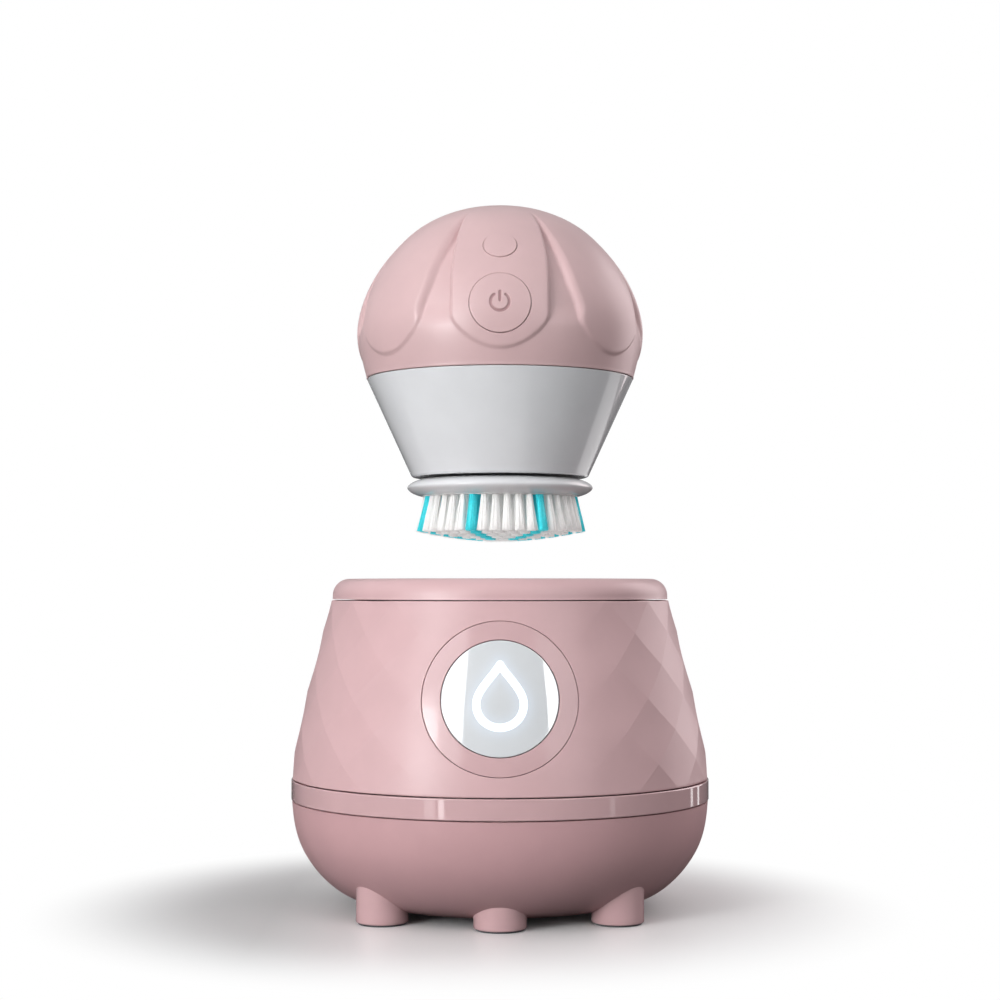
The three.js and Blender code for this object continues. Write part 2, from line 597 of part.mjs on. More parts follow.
const pinion = extruded(gearShape(PINION_TEETH), GEAR_Z[1] - GEAR_Z[0]).translate(0, 0, GEAR_Z[0]);
const pinionMesh = node("motor_pinion", join(pinion, rod(1, GEAR_Z[1] - 1, 16, 12)), BRASS, brush);
pinionMesh.position.y = MOTOR_OFFSET;

const motorProfile = [
  [1.4, 17],
  [1.4, 13.6],
  [3, 13.6],
  [3, 14.2],
  [MOTOR_R, 14.2],
  [MOTOR_R, MOTOR_TOP_Z - 1],
  [MOTOR_R - 1, MOTOR_TOP_Z],
  [0, MOTOR_TOP_Z],
];
const motor = node("motor", turned([[0, 17], ...motorProfile], 20), STEEL, brush);
motor.position.y = MOTOR_OFFSET;

const hexagon = rod(HEX_R, ...HEX_Z, 6);
node("spindle", join(hexagon, rod(SHAFT_R, HEX_Z[1] - 0.5, 14.5, 24)), STEEL, brush);

// ---------------------------------------------------------------- brush: power and control
node("control_board", rod(26, 35, 36.6, 32), BOARD_GREEN, brush);
const cell = rod(BATTERY.r, -BATTERY.length / 2, BATTERY.length / 2, 24);
const battery = node("battery", cell, BATTERY_BLUE, brush);
battery.rotation.y = Math.PI / 2;
battery.position.set(0, BATTERY.y, BATTERY.z);

// ---------------------------------------------------------------- brush head
const flangeMiddleZ = (FLANGE_TOP_Z + FLANGE_LOW_Z) / 2;
const flangeEdge = Array.from({ length: 9 }, (_, i) => {
  const angle = ((i - 4) * Math.PI) / 8;
  const out = Math.abs(Math.cos(angle)) ** (2 / FLANGE_EDGE.power);
  const up = Math.sign(i - 4) * Math.abs(Math.sin(angle)) ** (2 / FLANGE_EDGE.power);
  const half = (FLANGE_TOP_Z - FLANGE_LOW_Z) / 2;
  return [FLANGE_EDGE.r - FLANGE_EDGE.reach * (1 - out), flangeMiddleZ + half * up];
});
const flangeProfile = [[0, FLANGE_LOW_Z], ...flangeEdge, [0, FLANGE_TOP_Z]];
const socket = turned([[0, -3.5], [3.25, -3.5], [3.25, 1], [0, 1]], 6);
node("head_flange", cut(turned(flangeProfile), socket), GREY_GLOSS, brush);
node("tuft_plate", rod(21.8, ...PLATE_Z, PLAIN), WHITE, brush);

const tuftField = turned([
  [0, TUFT_CENTRE_Z],
  [12, TUFT_CENTRE_Z + 0.8],
  [TUFT_TIP_R, TUFT_TIP_Z],
  [TUFT_BASE_R, TUFT_Z],
  [0, TUFT_Z],
]);
const spokeBar = (width, from, to, angle) =>
  block(0, -(from + to) / 2, TUFT_CENTRE_Z - 1, width, to - from, 14).rotateZ(angle * DEG);
const spokeAngles = Array.from({ length: SPOKES }, (_, i) => SPOKE_START + (i * 360) / SPOKES);
const slots = spokeAngles.map((a) => spokeBar(SPOKE_WIDTH + 2 * GAP, SPOKE_R[0] - GAP, 30, a));
node("white_bristles", cut(tuftField, ...slots), WHITE, brush);
spokeAngles.forEach((angle, i) => {
  const row = common(tuftField, spokeBar(SPOKE_WIDTH, ...SPOKE_R, angle));
  node(`cyan_row_${i + 1}`, row, CYAN, brush);
});

export default root;
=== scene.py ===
import json
import math
import random

import bpy
import numpy as np
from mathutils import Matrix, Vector

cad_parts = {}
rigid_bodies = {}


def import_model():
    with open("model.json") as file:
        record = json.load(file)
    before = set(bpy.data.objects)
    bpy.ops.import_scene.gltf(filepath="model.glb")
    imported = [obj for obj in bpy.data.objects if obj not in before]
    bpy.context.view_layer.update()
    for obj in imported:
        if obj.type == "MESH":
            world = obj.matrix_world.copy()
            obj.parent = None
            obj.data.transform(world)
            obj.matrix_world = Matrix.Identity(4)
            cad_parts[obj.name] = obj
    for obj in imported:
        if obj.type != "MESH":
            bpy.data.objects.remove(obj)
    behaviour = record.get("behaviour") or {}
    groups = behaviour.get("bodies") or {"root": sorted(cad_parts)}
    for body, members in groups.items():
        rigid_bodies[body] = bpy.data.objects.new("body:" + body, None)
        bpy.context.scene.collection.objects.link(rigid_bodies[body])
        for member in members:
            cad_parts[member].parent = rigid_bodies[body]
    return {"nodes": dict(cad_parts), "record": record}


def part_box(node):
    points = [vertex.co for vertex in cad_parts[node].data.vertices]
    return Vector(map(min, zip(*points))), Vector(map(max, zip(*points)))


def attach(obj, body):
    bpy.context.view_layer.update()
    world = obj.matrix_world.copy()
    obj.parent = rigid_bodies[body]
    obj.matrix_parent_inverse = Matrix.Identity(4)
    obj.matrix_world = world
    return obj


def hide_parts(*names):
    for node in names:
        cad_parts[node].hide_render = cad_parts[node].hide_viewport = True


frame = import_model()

# Looks of the facial cleansing brush and its dock. Lengths below are in millimetres; azimuths are in
# degrees from the front (-Y) towards +X. Pieces are made where they rest and ride on the CAD bodies.

MM = 0.001
TURN = 2 * math.pi
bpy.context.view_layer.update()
random.seed(7)


def low(node):
    """Lowest corner of a CAD node's box."""
    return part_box(node)[0] / MM


def high(node):
    """Highest corner of a CAD node's box."""
    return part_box(node)[1] / MM


def middle_of(node):
    """Middle of a CAD node's box."""
    return [(a + b) / 2 for a, b in zip(low(node), high(node))]


# ------------------------------------------------------------------ sizes read off the CAD
WALL_LOW, WALL_HIGH = low("body_shell").z, high("body_shell").z
BAND_R = high("band_ring").x
BAND_LOW, BAND_HIGH = low("band_ring").z, high("band_ring").z
BOWL_TOP = high("bowl_shell").z
RIM_LOW, RIM_TOP = low("rim_ring").z, high("rim_ring").z
BRUSH_Z = low("collar_shell").z
COLLAR_TOP = high("collar_shell").z
DOME_LOW, DOME_TOP = low("dome_shell").z, high("dome_shell").z
FLANGE_TOP = high("head_flange").z
FLANGE_R = high("head_flange").x
TUFT_BASE_Z = high("white_bristles").z
TUFT_TIP_Z = low("white_bristles").z
WELL_FLOOR = high("uv_window").z - 0.3

# ------------------------------------------------------------------ outlines, [radius, height]
WALL_LINE = [(57, 35), (56, 43.5), (54, 53.2), (51.7, 63), (49.3, 72), (46.65, 83.2)]
BOWL_LINE = [(35.5, 2), (42, 3.9), (47.1, 7.3), (51.6, 12.3), (54.5, 17.4), (56.2, 23.5), (56.8, 29)]
DOME_LINE = [
    (37.4, 27.45), (39.35, 36.5), (39.5, 41), (38.2, 47.4), (34.8, 55), (29.1, 62.7),
    (22.9, 68.4), (16.4, 72), (8.7, 74.3), (0, 74.9),
]
CONE_R, CONE_SLOPE = 24.28, 0.4623
WINDOW_TILT = math.radians(13)
WINDOW_REACH, WINDOW_Z = 52.6, 59.2
BEZEL_R, LENS_R = 19.6, 14.7
BUTTONS = {
    "power": {"reach": 39.4, "z": 43.3, "tilt": math.radians(7), "r": 8.0},
    "speed": {"reach": 31.9, "z": 59.3, "tilt": math.radians(37), "r": 4.4},
}


def smoothstep(a, b, x):
    t = np.clip((x - a) / (b - a), 0, 1)
    return t * t * (3 - 2 * t)


def spline(points, closed_top=False):
    """A natural cubic curve through the points, sampled evenly by length."""
    p = np.array(points, float)
    if closed_top:  # mirrored over the axis, so that the curve crosses it level
        p = np.vstack([p, [[-r, z] for r, z in points[-2:-5:-1]]])
    t = np.concatenate([[0], np.cumsum(np.hypot(*np.diff(p, axis=0).T))])
    h = np.diff(t)
    n = len(p)
    a = np.eye(n)
    b = np.zeros((n, 2))
    for i in range(1, n - 1):
        a[i, i - 1 : i + 2] = [h[i - 1], 2 * (h[i - 1] + h[i]), h[i]]
        b[i] = 6 * ((p[i + 1] - p[i]) / h[i] - (p[i] - p[i - 1]) / h[i - 1])
    m = np.linalg.solve(a, b)
    end = t[len(points) - 1]
    u = np.linspace(0, end, 3000)
    k = np.clip(np.searchsorted(t, u, "right") - 1, 0, n - 2)
    left, right, w = (u - t[k])[:, None], (t[k + 1] - u)[:, None], h[k][:, None]
    q = (
        m[k] * right**3 / (6 * w)
        + m[k + 1] * left**3 / (6 * w)
        + (p[k] / w - m[k] * w / 6) * right
        + (p[k + 1] / w - m[k + 1] * w / 6) * left
    )
    s = np.concatenate([[0], np.cumsum(np.hypot(*np.diff(q, axis=0).T))])
    even = np.linspace(0, s[-1], 3000)
    return np.stack([np.interp(even, s, q[:, 0]), np.interp(even, s, q[:, 1])], 1), s[-1]


def rounded(corners, steps=5, support=0.06):
    """A profile whose corners (r, z, radius) are rounded, with a support point on either side."""
    out = []
    n = len(corners)
    for i, (r, z, f) in enumerate(corners):
        here = np.array([r, z], float)
        if f <= 0 or i in (0, n - 1):
            out.append(here)
            continue
        before = np.array(corners[i - 1][:2], float) - here
        after = np.array(corners[i + 1][:2], float) - here
        la, lb = np.linalg.norm(before), np.linalg.norm(after)
        ua, ub = before / la, after / lb
        half = math.acos(np.clip(ua @ ub, -1, 1)) / 2
        if half > math.radians(89):
            out.append(here)
            continue
        cut = min(f / math.tan(half), la * 0.49, lb * 0.49)
        radius = cut * math.tan(half)
        bisector = (ua + ub) / np.linalg.norm(ua + ub)
        centre = here + bisector * (radius / math.sin(half))
        a, b = here + ua * cut, here + ub * cut
        out.append(a + ua * min(support, la * 0.2))
        va, vb = a - centre, b - centre
        sweep = math.acos(np.clip(va @ vb / (radius * radius), -1, 1))
        for k in range(steps + 1):
            t = k / steps
            v = (math.sin((1 - t) * sweep) * va + math.sin(t * sweep) * vb) / math.sin(sweep)
            out.append(centre + v)
        out.append(b + ub * min(support, lb * 0.2))
    return np.array(out)


def arc(r, z, radius, start, stop, count):
    """Sharp profile points along an arc."""
    a = np.radians(np.linspace(start, stop, count + 1))
    return [(r + radius * math.cos(t), z + radius * math.sin(t), 0) for t in a]


# ------------------------------------------------------------------ mesh making
def make(name, verts, faces, body=None, slot=None, replaces=(), sharp_over=None, sharp_edges=(), look=None):
    """A smooth-shaded piece from millimetre vertices, less the unused ones; without a body it is a cutter."""
    verts = np.asarray(verts, float)
    used = np.unique(np.concatenate([np.asarray(f) for f in faces]))
    index = np.full(len(verts), -1)
    index[used] = np.arange(len(used))
    mesh = bpy.data.meshes.new(name)
    mesh.from_pydata((verts[used] * MM).tolist(), [], [[int(index[v]) for v in f] for f in faces])
    mesh.validate()
    mesh.shade_smooth()
    if sharp_over is not None:
        mesh.set_sharp_from_angle(angle=math.radians(sharp_over))
    if len(sharp_edges):
        wanted = {tuple(sorted((int(index[a]), int(index[b])))) for a, b in sharp_edges}
        flags = [tuple(sorted(e.vertices)) in wanted for e in mesh.edges]
        layer = mesh.attributes.get("sharp_edge") or mesh.attributes.new("sharp_edge", "BOOLEAN", "EDGE")
        layer.data.foreach_set("value", flags)
    mesh.update()
    piece = bpy.data.objects.new(name, mesh)
    bpy.context.scene.collection.objects.link(piece)
    if body:
        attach(piece, body)
        piece.data.materials.append(FINISH[look or slot])
    if replaces:
        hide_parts(*replaces)
    return piece


def turned(profile, sides=256, centre=(0, 0), ring=False):
    """Vertices and faces of a profile [r, z] turned about an upright axis, outside upwards."""
    p = np.asarray([q[:2] for q in profile], float)
    verts, rows = [], []
    angle = np.arange(sides) * TURN / sides
    for r, z in p:
        if r < 1e-6:
            rows.append([len(verts)])
            verts.append((centre[0], centre[1], z))
            continue
        rows.append(list(range(len(verts), len(verts) + sides)))
        verts += list(zip(centre[0] + r * np.sin(angle), centre[1] - r * np.cos(angle), [z] * sides))
    faces = []
    pairs = list(zip(rows, rows[1:])) + ([(rows[-1], rows[0])] if ring else [])
    for a, b in pairs:
        for i in range(sides):
            j = (i + 1) % sides
            quad = [a[i % len(a)], a[j % len(a)], b[j % len(b)], b[i % len(b)]]
            quad = [v for k, v in enumerate(quad) if v != quad[k - 1]]
            if len(quad) > 2:
                faces.append(quad)
    return verts, faces


def carve(piece, *cutters):
    """Cuts closed shapes out of a closed piece and marks the new edges."""
    material = piece.data.materials[0]
    for cutter in cutters:
        modifier = piece.modifiers.new("carve", "BOOLEAN")
        modifier.operation = "DIFFERENCE"
        modifier.solver = "MANIFOLD"
        modifier.object = cutter
    graph = bpy.context.evaluated_depsgraph_get()
    mesh = bpy.data.meshes.new_from_object(piece.evaluated_get(graph))
    piece.modifiers.clear()
    piece.data = mesh
    mesh.materials.clear()
    mesh.materials.append(material)
    mesh.shade_smooth()
    mesh.set_sharp_from_angle(angle=math.radians(32))
    for cutter in cutters:
        bpy.data.objects.remove(cutter)


class Skin:
    """A turned skin given by its profile, with a relief that sinks it along its normal."""

    def __init__(self, line, lift=0, relief=None, closed_top=False):
        points, self.length = spline(line, closed_top)
        self.r, self.z = points[:, 0], points[:, 1] + lift
        self.s = np.linspace(0, self.length, len(points))
        tangent = np.gradient(points, self.s, axis=0)
        tangent /= np.linalg.norm(tangent, axis=1)[:, None]
        self.nr, self.nz = tangent[:, 1], -tangent[:, 0]
        self.relief = relief

    def radius(self, s):
        return np.interp(s, self.s, self.r)

    def height(self, s):
        return np.interp(s, self.s, self.z)

    def at_height(self, z):
        """Distance along the profile at which it reaches a height."""
        return np.interp(z, self.z, self.s)

    def point(self, azimuth, s):
        azimuth, s = np.broadcast_arrays(np.asarray(azimuth, float), np.asarray(s, float))
        r, z = self.radius(s), self.height(s)
        if self.relief is not None:
            depth = self.relief(self, azimuth, s)
            r = r - depth * np.interp(s, self.s, self.nr)
            z = z - depth * np.interp(s, self.s, self.nz)
        a = np.radians(azimuth)
        return np.stack([r * np.sin(a), -r * np.cos(a), z], -1)


class Plane:
    """The plane of a button or window on the front: local x to the right, y up along the wall."""

    def __init__(self, reach, z, tilt):
        self.centre = np.array([0, -reach, z])
        self.x = np.array([1.0, 0, 0])
        self.y = np.array([0, math.sin(tilt), math.cos(tilt)])
        self.n = np.array([0, -math.cos(tilt), math.sin(tilt)])

    def flat(self, p):
        d = p - self.centre
        return np.stack([d @ self.x, d @ self.y], -1)

    def drop(self, skin, q, azimuth, s):
        """Azimuth and length on the skin of plane points q, refined from a first guess."""
        azimuth, s = np.array(azimuth, float), np.array(s, float)
        for _ in range(12):
            here = self.flat(skin.point(azimuth, s))
            miss = q - here
            da = (self.flat(skin.point(azimuth + 0.02, s)) - here) / 0.02
            ds = (self.flat(skin.point(azimuth, s + 0.01)) - here) / 0.01
            det = da[..., 0] * ds[..., 1] - da[..., 1] * ds[..., 0]
            azimuth = azimuth + (miss[..., 0] * ds[..., 1] - miss[..., 1] * ds[..., 0]) / det
            s = np.clip(s + (miss[..., 1] * da[..., 0] - miss[..., 0] * da[..., 1]) / det, 0, skin.length)
        return azimuth, s


def skin_grid(skin, azimuths, stations, holes):
    """Vertices and faces of a skin over a grid that closes round the axis, with round holes.

    A hole is (plane, radius, fillet, depth, first and last column, first and last row). The square of
    cells it lies in is filled with rings that lead from the square's edge to the circle, over a rounded
    edge and down the hole's wall."""
    columns, rows = len(azimuths), len(stations)
    a, s = np.meshgrid(azimuths, stations, indexing="ij")
    points = skin.point(a, s).reshape(-1, 3)
    verts = [points]
    count = len(points)
    removed = np.zeros((columns, rows - 1), bool)
    faces = []
    for plane, radius, fillet, depth, i0, i1, j0, j1 in holes:
        removed[i0:i1, j0:j1] = True
        loop = [(i, j0) for i in range(i0, i1)] + [(i1, j) for j in range(j0, j1)]
        loop += [(i, j1) for i in range(i1, i0, -1)] + [(i0, j) for j in range(j1, j0, -1)]
        ids = [i * rows + j for i, j in loop]
        la, ls = np.array([azimuths[i] for i, _ in loop]), np.array([stations[j] for _, j in loop])
        flat = plane.flat(points[ids])
        theta, reach = np.arctan2(flat[:, 1], flat[:, 0]), np.hypot(*flat.T)
        unit = np.stack([np.cos(theta), np.sin(theta)], -1)
        last, levels = ids, 14
        outward = unit[:, :1] * plane.x + unit[:, 1:] * plane.y
        for k in range(1, levels + 1):
            t = (k / levels) ** 0.8
            wanted = reach + (radius + fillet - reach) * t
            la, ls = plane.drop(skin, unit * wanted[:, None], la, ls)
            ring = skin.point(la, ls)
            verts.append(ring)
            now = list(range(count, count + len(ring)))
            count += len(ring)
            faces += bridge(last, now)
            last = now
        base = ring
        steps = [(fillet * math.sin(t), fillet * (1 - math.cos(t))) for t in np.radians([18, 36, 54, 72, 90])]
        steps += [(fillet, fillet + 0.05), (fillet, depth)]
        for inward, down in steps:
            verts.append(base - outward * inward - plane.n * down)
            now = list(range(count, count + len(base)))
            count += len(base)
            faces += bridge(last, now)
            last = now
    grid = [
        [i * rows + j, (i + 1) % columns * rows + j, (i + 1) % columns * rows + j + 1, i * rows + j + 1]
        for i in range(columns)
        for j in range(rows - 1)
        if not removed[i, j]
    ]
    return np.vstack(verts), grid + faces


def bridge(outer, inner):
    n = len(outer)
    return [[outer[i], outer[(i + 1) % n], inner[(i + 1) % n], inner[i]] for i in range(n)]


def plate(skin, plane, section, sides, dent=None):
    """A round plate that follows a skin: section is (radius, depth below the skin) from the middle out."""
    theta = np.arange(sides) * TURN / sides
    unit = np.stack([np.cos(theta), np.sin(theta)], -1)
    verts, rows = [], []
    s0 = skin.at_height(plane.centre[2])
    azimuth, s = np.zeros(sides), np.full(sides, s0)
    for radius, depth in section:
        if radius == 0:
            a0, t0 = plane.drop(skin, np.zeros((1, 2)), np.zeros(1), np.full(1, s0))
            sink = depth + (dent(np.zeros((1, 2)))[0] if dent else 0)
            verts.append(skin.point(a0, t0) - plane.n * sink)
            rows.append([0])
            continue
        flat = unit * radius
        azimuth, s = plane.drop(skin, flat, azimuth, s)
        sink = depth + (dent(flat)[:, None] if dent else 0)
        first = sum(len(v) for v in verts)
        verts.append(skin.point(azimuth, s) - plane.n * sink)
        rows.append(list(range(first, first + sides)))
    faces = []
    for inner, outer in zip(rows, rows[1:]):
        for i in range(sides):
            j = (i + 1) % sides
            if len(inner) == 1:
                faces.append([inner[0], outer[i], outer[j]])
            else:
                faces.append([inner[i], outer[i], outer[j], inner[j]])
    return np.vstack(verts), faces


def edge_out(radius, fillet, depth, proud=0):
    """Section of a plate's outer edge: rounded, then down to a depth."""
    angles = np.radians([0, 18, 36, 54, 72, 90])
    arc_points = [
        (radius - fillet + fillet * math.sin(t), fillet * (1 - math.cos(t)) - proud)
        for t in angles
    ]
    return arc_points + [(radius, fillet + 0.05 - proud), (radius, depth)]


# ------------------------------------------------------------------ finishes
def set_inputs(tree, node, inputs):
    """Gives each input its value, or a link where the value is another node's output."""
    for key, value in inputs.items():
        if isinstance(value, bpy.types.NodeSocket):
            tree.links.new(value, node.inputs[key])
        else:
            node.inputs[key].default_value = value
    return node


def add(tree, kind, inputs=None, **settings):
    node = tree.nodes.new("ShaderNode" + kind)
    for key, value in settings.items():
        setattr(node, key, value)
    return set_inputs(tree, node, inputs or {})


def noise(tree, coords, size, detail):
    """Noise whose features are about that many millimetres."""
    inputs = {"Vector": coords, "Scale": 1 / (size * MM), "Detail": detail}
    return add(tree, "TexNoise", inputs).outputs["Fac"]


def spread(tree, value, low_value, high_value, source=(0.3, 0.7)):
    """Maps the source range of a value onto another range."""
    ends = {"From Min": source[0], "From Max": source[1], "To Min": low_value, "To Max": high_value}
    return add(tree, "MapRange", {"Value": value, **ends}).outputs["Result"]


def blend(tree, factor, a, b):
    return add(tree, "Mix", {"Factor": factor, "A": a, "B": b}, data_type="RGBA").outputs["Result"]


def finish(name, color, roughness, metallic=0.0, coat=0.0, tint=0.02, tint_size=9, grain=0.25, bump=0.02,
           bump_height=0.02, rough_spread=0.015, specular=0.5, glow=0.0, pattern=None):
    """A moulded or machined surface: colour, roughness and height all vary a little at real scale."""
    material = bpy.data.materials.new(name)
    material.use_nodes = True
    tree = material.node_tree
    coords = add(tree, "TexCoord").outputs["Object"]
    dark, light = [(*[min(1, c * (1 + way)) for c in color], 1) for way in (-tint, tint)]
    cloud = spread(tree, noise(tree, coords, tint_size, 3), 0, 1)
    rough = spread(tree, noise(tree, coords, 8, 1), roughness - rough_spread, roughness + rough_spread)
    height = pattern(tree, coords) if pattern else noise(tree, coords, grain, 2)
    relief = add(tree, "Bump", {"Strength": bump, "Distance": bump_height * MM, "Height": height})
    shader = set_inputs(tree, tree.nodes["Principled BSDF"], {
        "Base Color": blend(tree, cloud, dark, light),
        "Roughness": rough,
        "Normal": relief.outputs["Normal"],
        "Metallic": metallic,
        "Specular IOR Level": specular,
        "Coat Weight": coat,
        "Coat Roughness": 0.04,
    })
    if glow:  # painted glow: emission standing in for light that has passed through thin filaments
        set_inputs(tree, shader, {"Emission Color": (*color, 1), "Emission Strength": glow})
    return material


def waves(tree, coords, pitch, distortion, **settings):
    inputs = {"Vector": coords, "Scale": 1 / (pitch * MM), "Distortion": distortion}
    return add(tree, "TexWave", inputs, **settings).outputs["Fac"]


def windings(tree, coords):
    """Fine turns of wire, stacked along Z."""
    return waves(tree, coords, 0.9, 0.3, bands_direction="Z")


def lathe_marks(tree, coords):
    """Fine rings left by turning."""
    return waves(tree, coords, 0.8, 0.6, wave_type="RINGS", rings_direction="Z")


def traces(tree, coords):
    """Raised copper tracks under a board's solder mask."""
    inputs = {"Vector": coords, "Scale": 1 / (3.2 * MM), "Mortar Size": 0.06}
    return add(tree, "TexBrick", inputs).outputs["Fac"]


SATIN = {"grain": 0.4, "bump": 0.006, "bump_height": 0.01, "specular": 0.38}
GLOSS = {"grain": 1.2, "bump": 0.006, "bump_height": 0.01}
# painted glow: the tufts emit a little light of their own colour
TUFT = {"tint_size": 0.6, "grain": 0.2, "bump": 0.1, "glow": 0.05}
TURNED_METAL = {"metallic": 1.0, "pattern": lathe_marks, "bump": 0.15, "bump_height": 0.01}
WOUND = {"metallic": 1.0, "pattern": windings, "bump": 0.8, "bump_height": 0.12}
BOARD = {"tint": 0.2, "tint_size": 2.5, "pattern": traces, "bump": 0.5, "bump_height": 0.03}
LOOKS = {  # base colour, roughness and what differs from a plain moulding
    "pink_soft": ((0.680, 0.470, 0.478), 0.36, {"bump_height": 0.01}),
    "pink_satin": ((0.655, 0.428, 0.442), 0.36, SATIN),
    "pink_gloss": ((0.630, 0.410, 0.424), 0.14, {**GLOSS, "coat": 0.35}),
    "grey_gloss": ((0.695, 0.706, 0.726), 0.16, {**GLOSS, "bump": 0.01, "coat": 0.7}),
    "white_plastic": ((0.80, 0.80, 0.79), 0.38, {"grain": 0.3, "bump": 0.05}),
    "lens_white": ((0.73, 0.755, 0.78), 0.08, {"grain": 2, "bump": 0.004, "rough_spread": 0.01, "coat": 1.0}),
    "bristle_white": ((0.95, 0.95, 0.94), 0.45, {**TUFT, "tint": 0.03}),
    "bristle_cyan": ((0.05, 0.76, 0.85), 0.42, {**TUFT, "tint": 0.08}),
    "glow_white": ((0.9, 0.93, 0.95), 0.3, {"grain": 0.4}),
    "steel": ((0.56, 0.57, 0.58), 0.32, TURNED_METAL),
    "brass": ((0.62, 0.42, 0.14), 0.34, TURNED_METAL),
    "copper_winding": ((0.55, 0.21, 0.09), 0.35, WOUND),
    "circuit_board": ((0.015, 0.13, 0.045), 0.42, BOARD),
    "black_plastic": ((0.016, 0.016, 0.018), 0.5, {"bump": 0.15}),
    "seal_rubber": ((0.10, 0.10, 0.105), 0.75, {"grain": 0.3, "bump": 0.2}),
    "natural_nylon": ((0.66, 0.62, 0.53), 0.45, {"grain": 0.3, "bump": 0.1}),
    "battery_wrap": ((0.05, 0.16, 0.38), 0.3, {"tint": 0.05, "grain": 1.2, "bump": 0.1}),
    # pieces whose moulding has a sheen of its own; the flange's lighter grey is painted light and the bowl's
    # darker, deeper pink is painted shade
    # painted light: a lighter copy of the grey gloss for the flange
    "grey_gloss_flange_lit": ((0.75, 0.755, 0.77), 0.25, {**GLOSS, "bump": 0.01, "coat": 0.4}),
    "pink_gloss_rim": ((0.66, 0.435, 0.449), 0.36, GLOSS),
    "pink_gloss_band": (
        (0.630, 0.410, 0.424), 0.07, {**GLOSS, "bump": 0.004, "rough_spread": 0.01, "coat": 0.6}
    ),
    # painted shade: a darker, more saturated copy of the pink satin for the bowl, which faces down into shade
    "pink_satin_bowl_shaded": ((0.60, 0.362, 0.378), 0.36, SATIN),
    "pink_satin_foot": ((0.625, 0.402, 0.416), 0.22, {**GLOSS, "coat": 0.25}),
}
FINISH = {name: finish(name, color, rough, **more) for name, (color, rough, more) in LOOKS.items()}


def light_lens():
    """Lights the lens: the drop and its soft bluish halo come from values stored on the mesh."""
    tree = FINISH["lens_white"].node_tree
    sign, halo = [add(tree, "Attribute", attribute_name=name).outputs["Fac"] for name in ("sign", "halo")]
    faint = add(tree, "Math", {0: halo, 1: 0.16}, operation="MULTIPLY").outputs["Value"]
    set_inputs(tree, tree.nodes["Principled BSDF"], {
        "Coat IOR": 2.2,
        "Emission Color": blend(tree, sign, (0.45, 0.68, 1.0, 1), (0.95, 0.98, 1.0, 1)),
        "Emission Strength": add(tree, "Math", {0: sign, 1: faint}, operation="ADD").outputs["Value"],
    })


def engrave():
    """The dome's finish, darker where the power sign is engraved."""
    material = FINISH["pink_soft"].copy()
    material.name = "pink_soft_signed"
    tree = material.node_tree
    shader = tree.nodes["Principled BSDF"]
    plain = shader.inputs["Base Color"].links[0].from_socket
    sign = add(tree, "Attribute", attribute_name="sign").outputs["Fac"]
    set_inputs(tree, shader, {"Base Color": blend(tree, sign, plain, (0.40, 0.235, 0.245, 1))})
    FINISH[material.name] = material


light_lens()
engrave()

# ------------------------------------------------------------------ dock: wall with its diamonds
DIAMOND_START = 25.3
DIAMOND_PITCH = (180 - DIAMOND_START) / 7.5
DIAMOND_HEIGHT, DIAMOND_Z = 16.6, 58.2
DIAMOND_SAG = 0.875  # twice the depth of a facet's middle below its corners
CELLS = 28  # grid cells along half a diamond's diagonal, both ways
FADING = CELLS // 2  # columns before the first corner in which the facets run out into the wall


def diamond_relief(skin, azimuth, s):
    """Depth below the round wall: the corners of a diamond lie on it and its face is flat."""
    az = np.abs((azimuth + 180) % 360 - 180)
    across = (az - DIAMOND_START) / DIAMOND_PITCH
    up = (skin.height(s) - DIAMOND_Z) / DIAMOND_HEIGHT
    i, j = np.floor(across + up + 1e-9), np.floor(across - up + 1e-9)
    u, v = across + up - i, across - up - j
    full = u * (1 - u) + v * (1 - v)
    fading = u * (1 - u) * v**3 + v * (1 - v) * u**3
    return DIAMOND_SAG * np.where(i + j >= 0, full, np.where(i + j == -1, fading, 0))


wall_skin = Skin(WALL_LINE, WALL_LOW - WALL_LINE[0][1], diamond_relief)
window = Plane(WINDOW_REACH, WINDOW_Z, WINDOW_TILT)


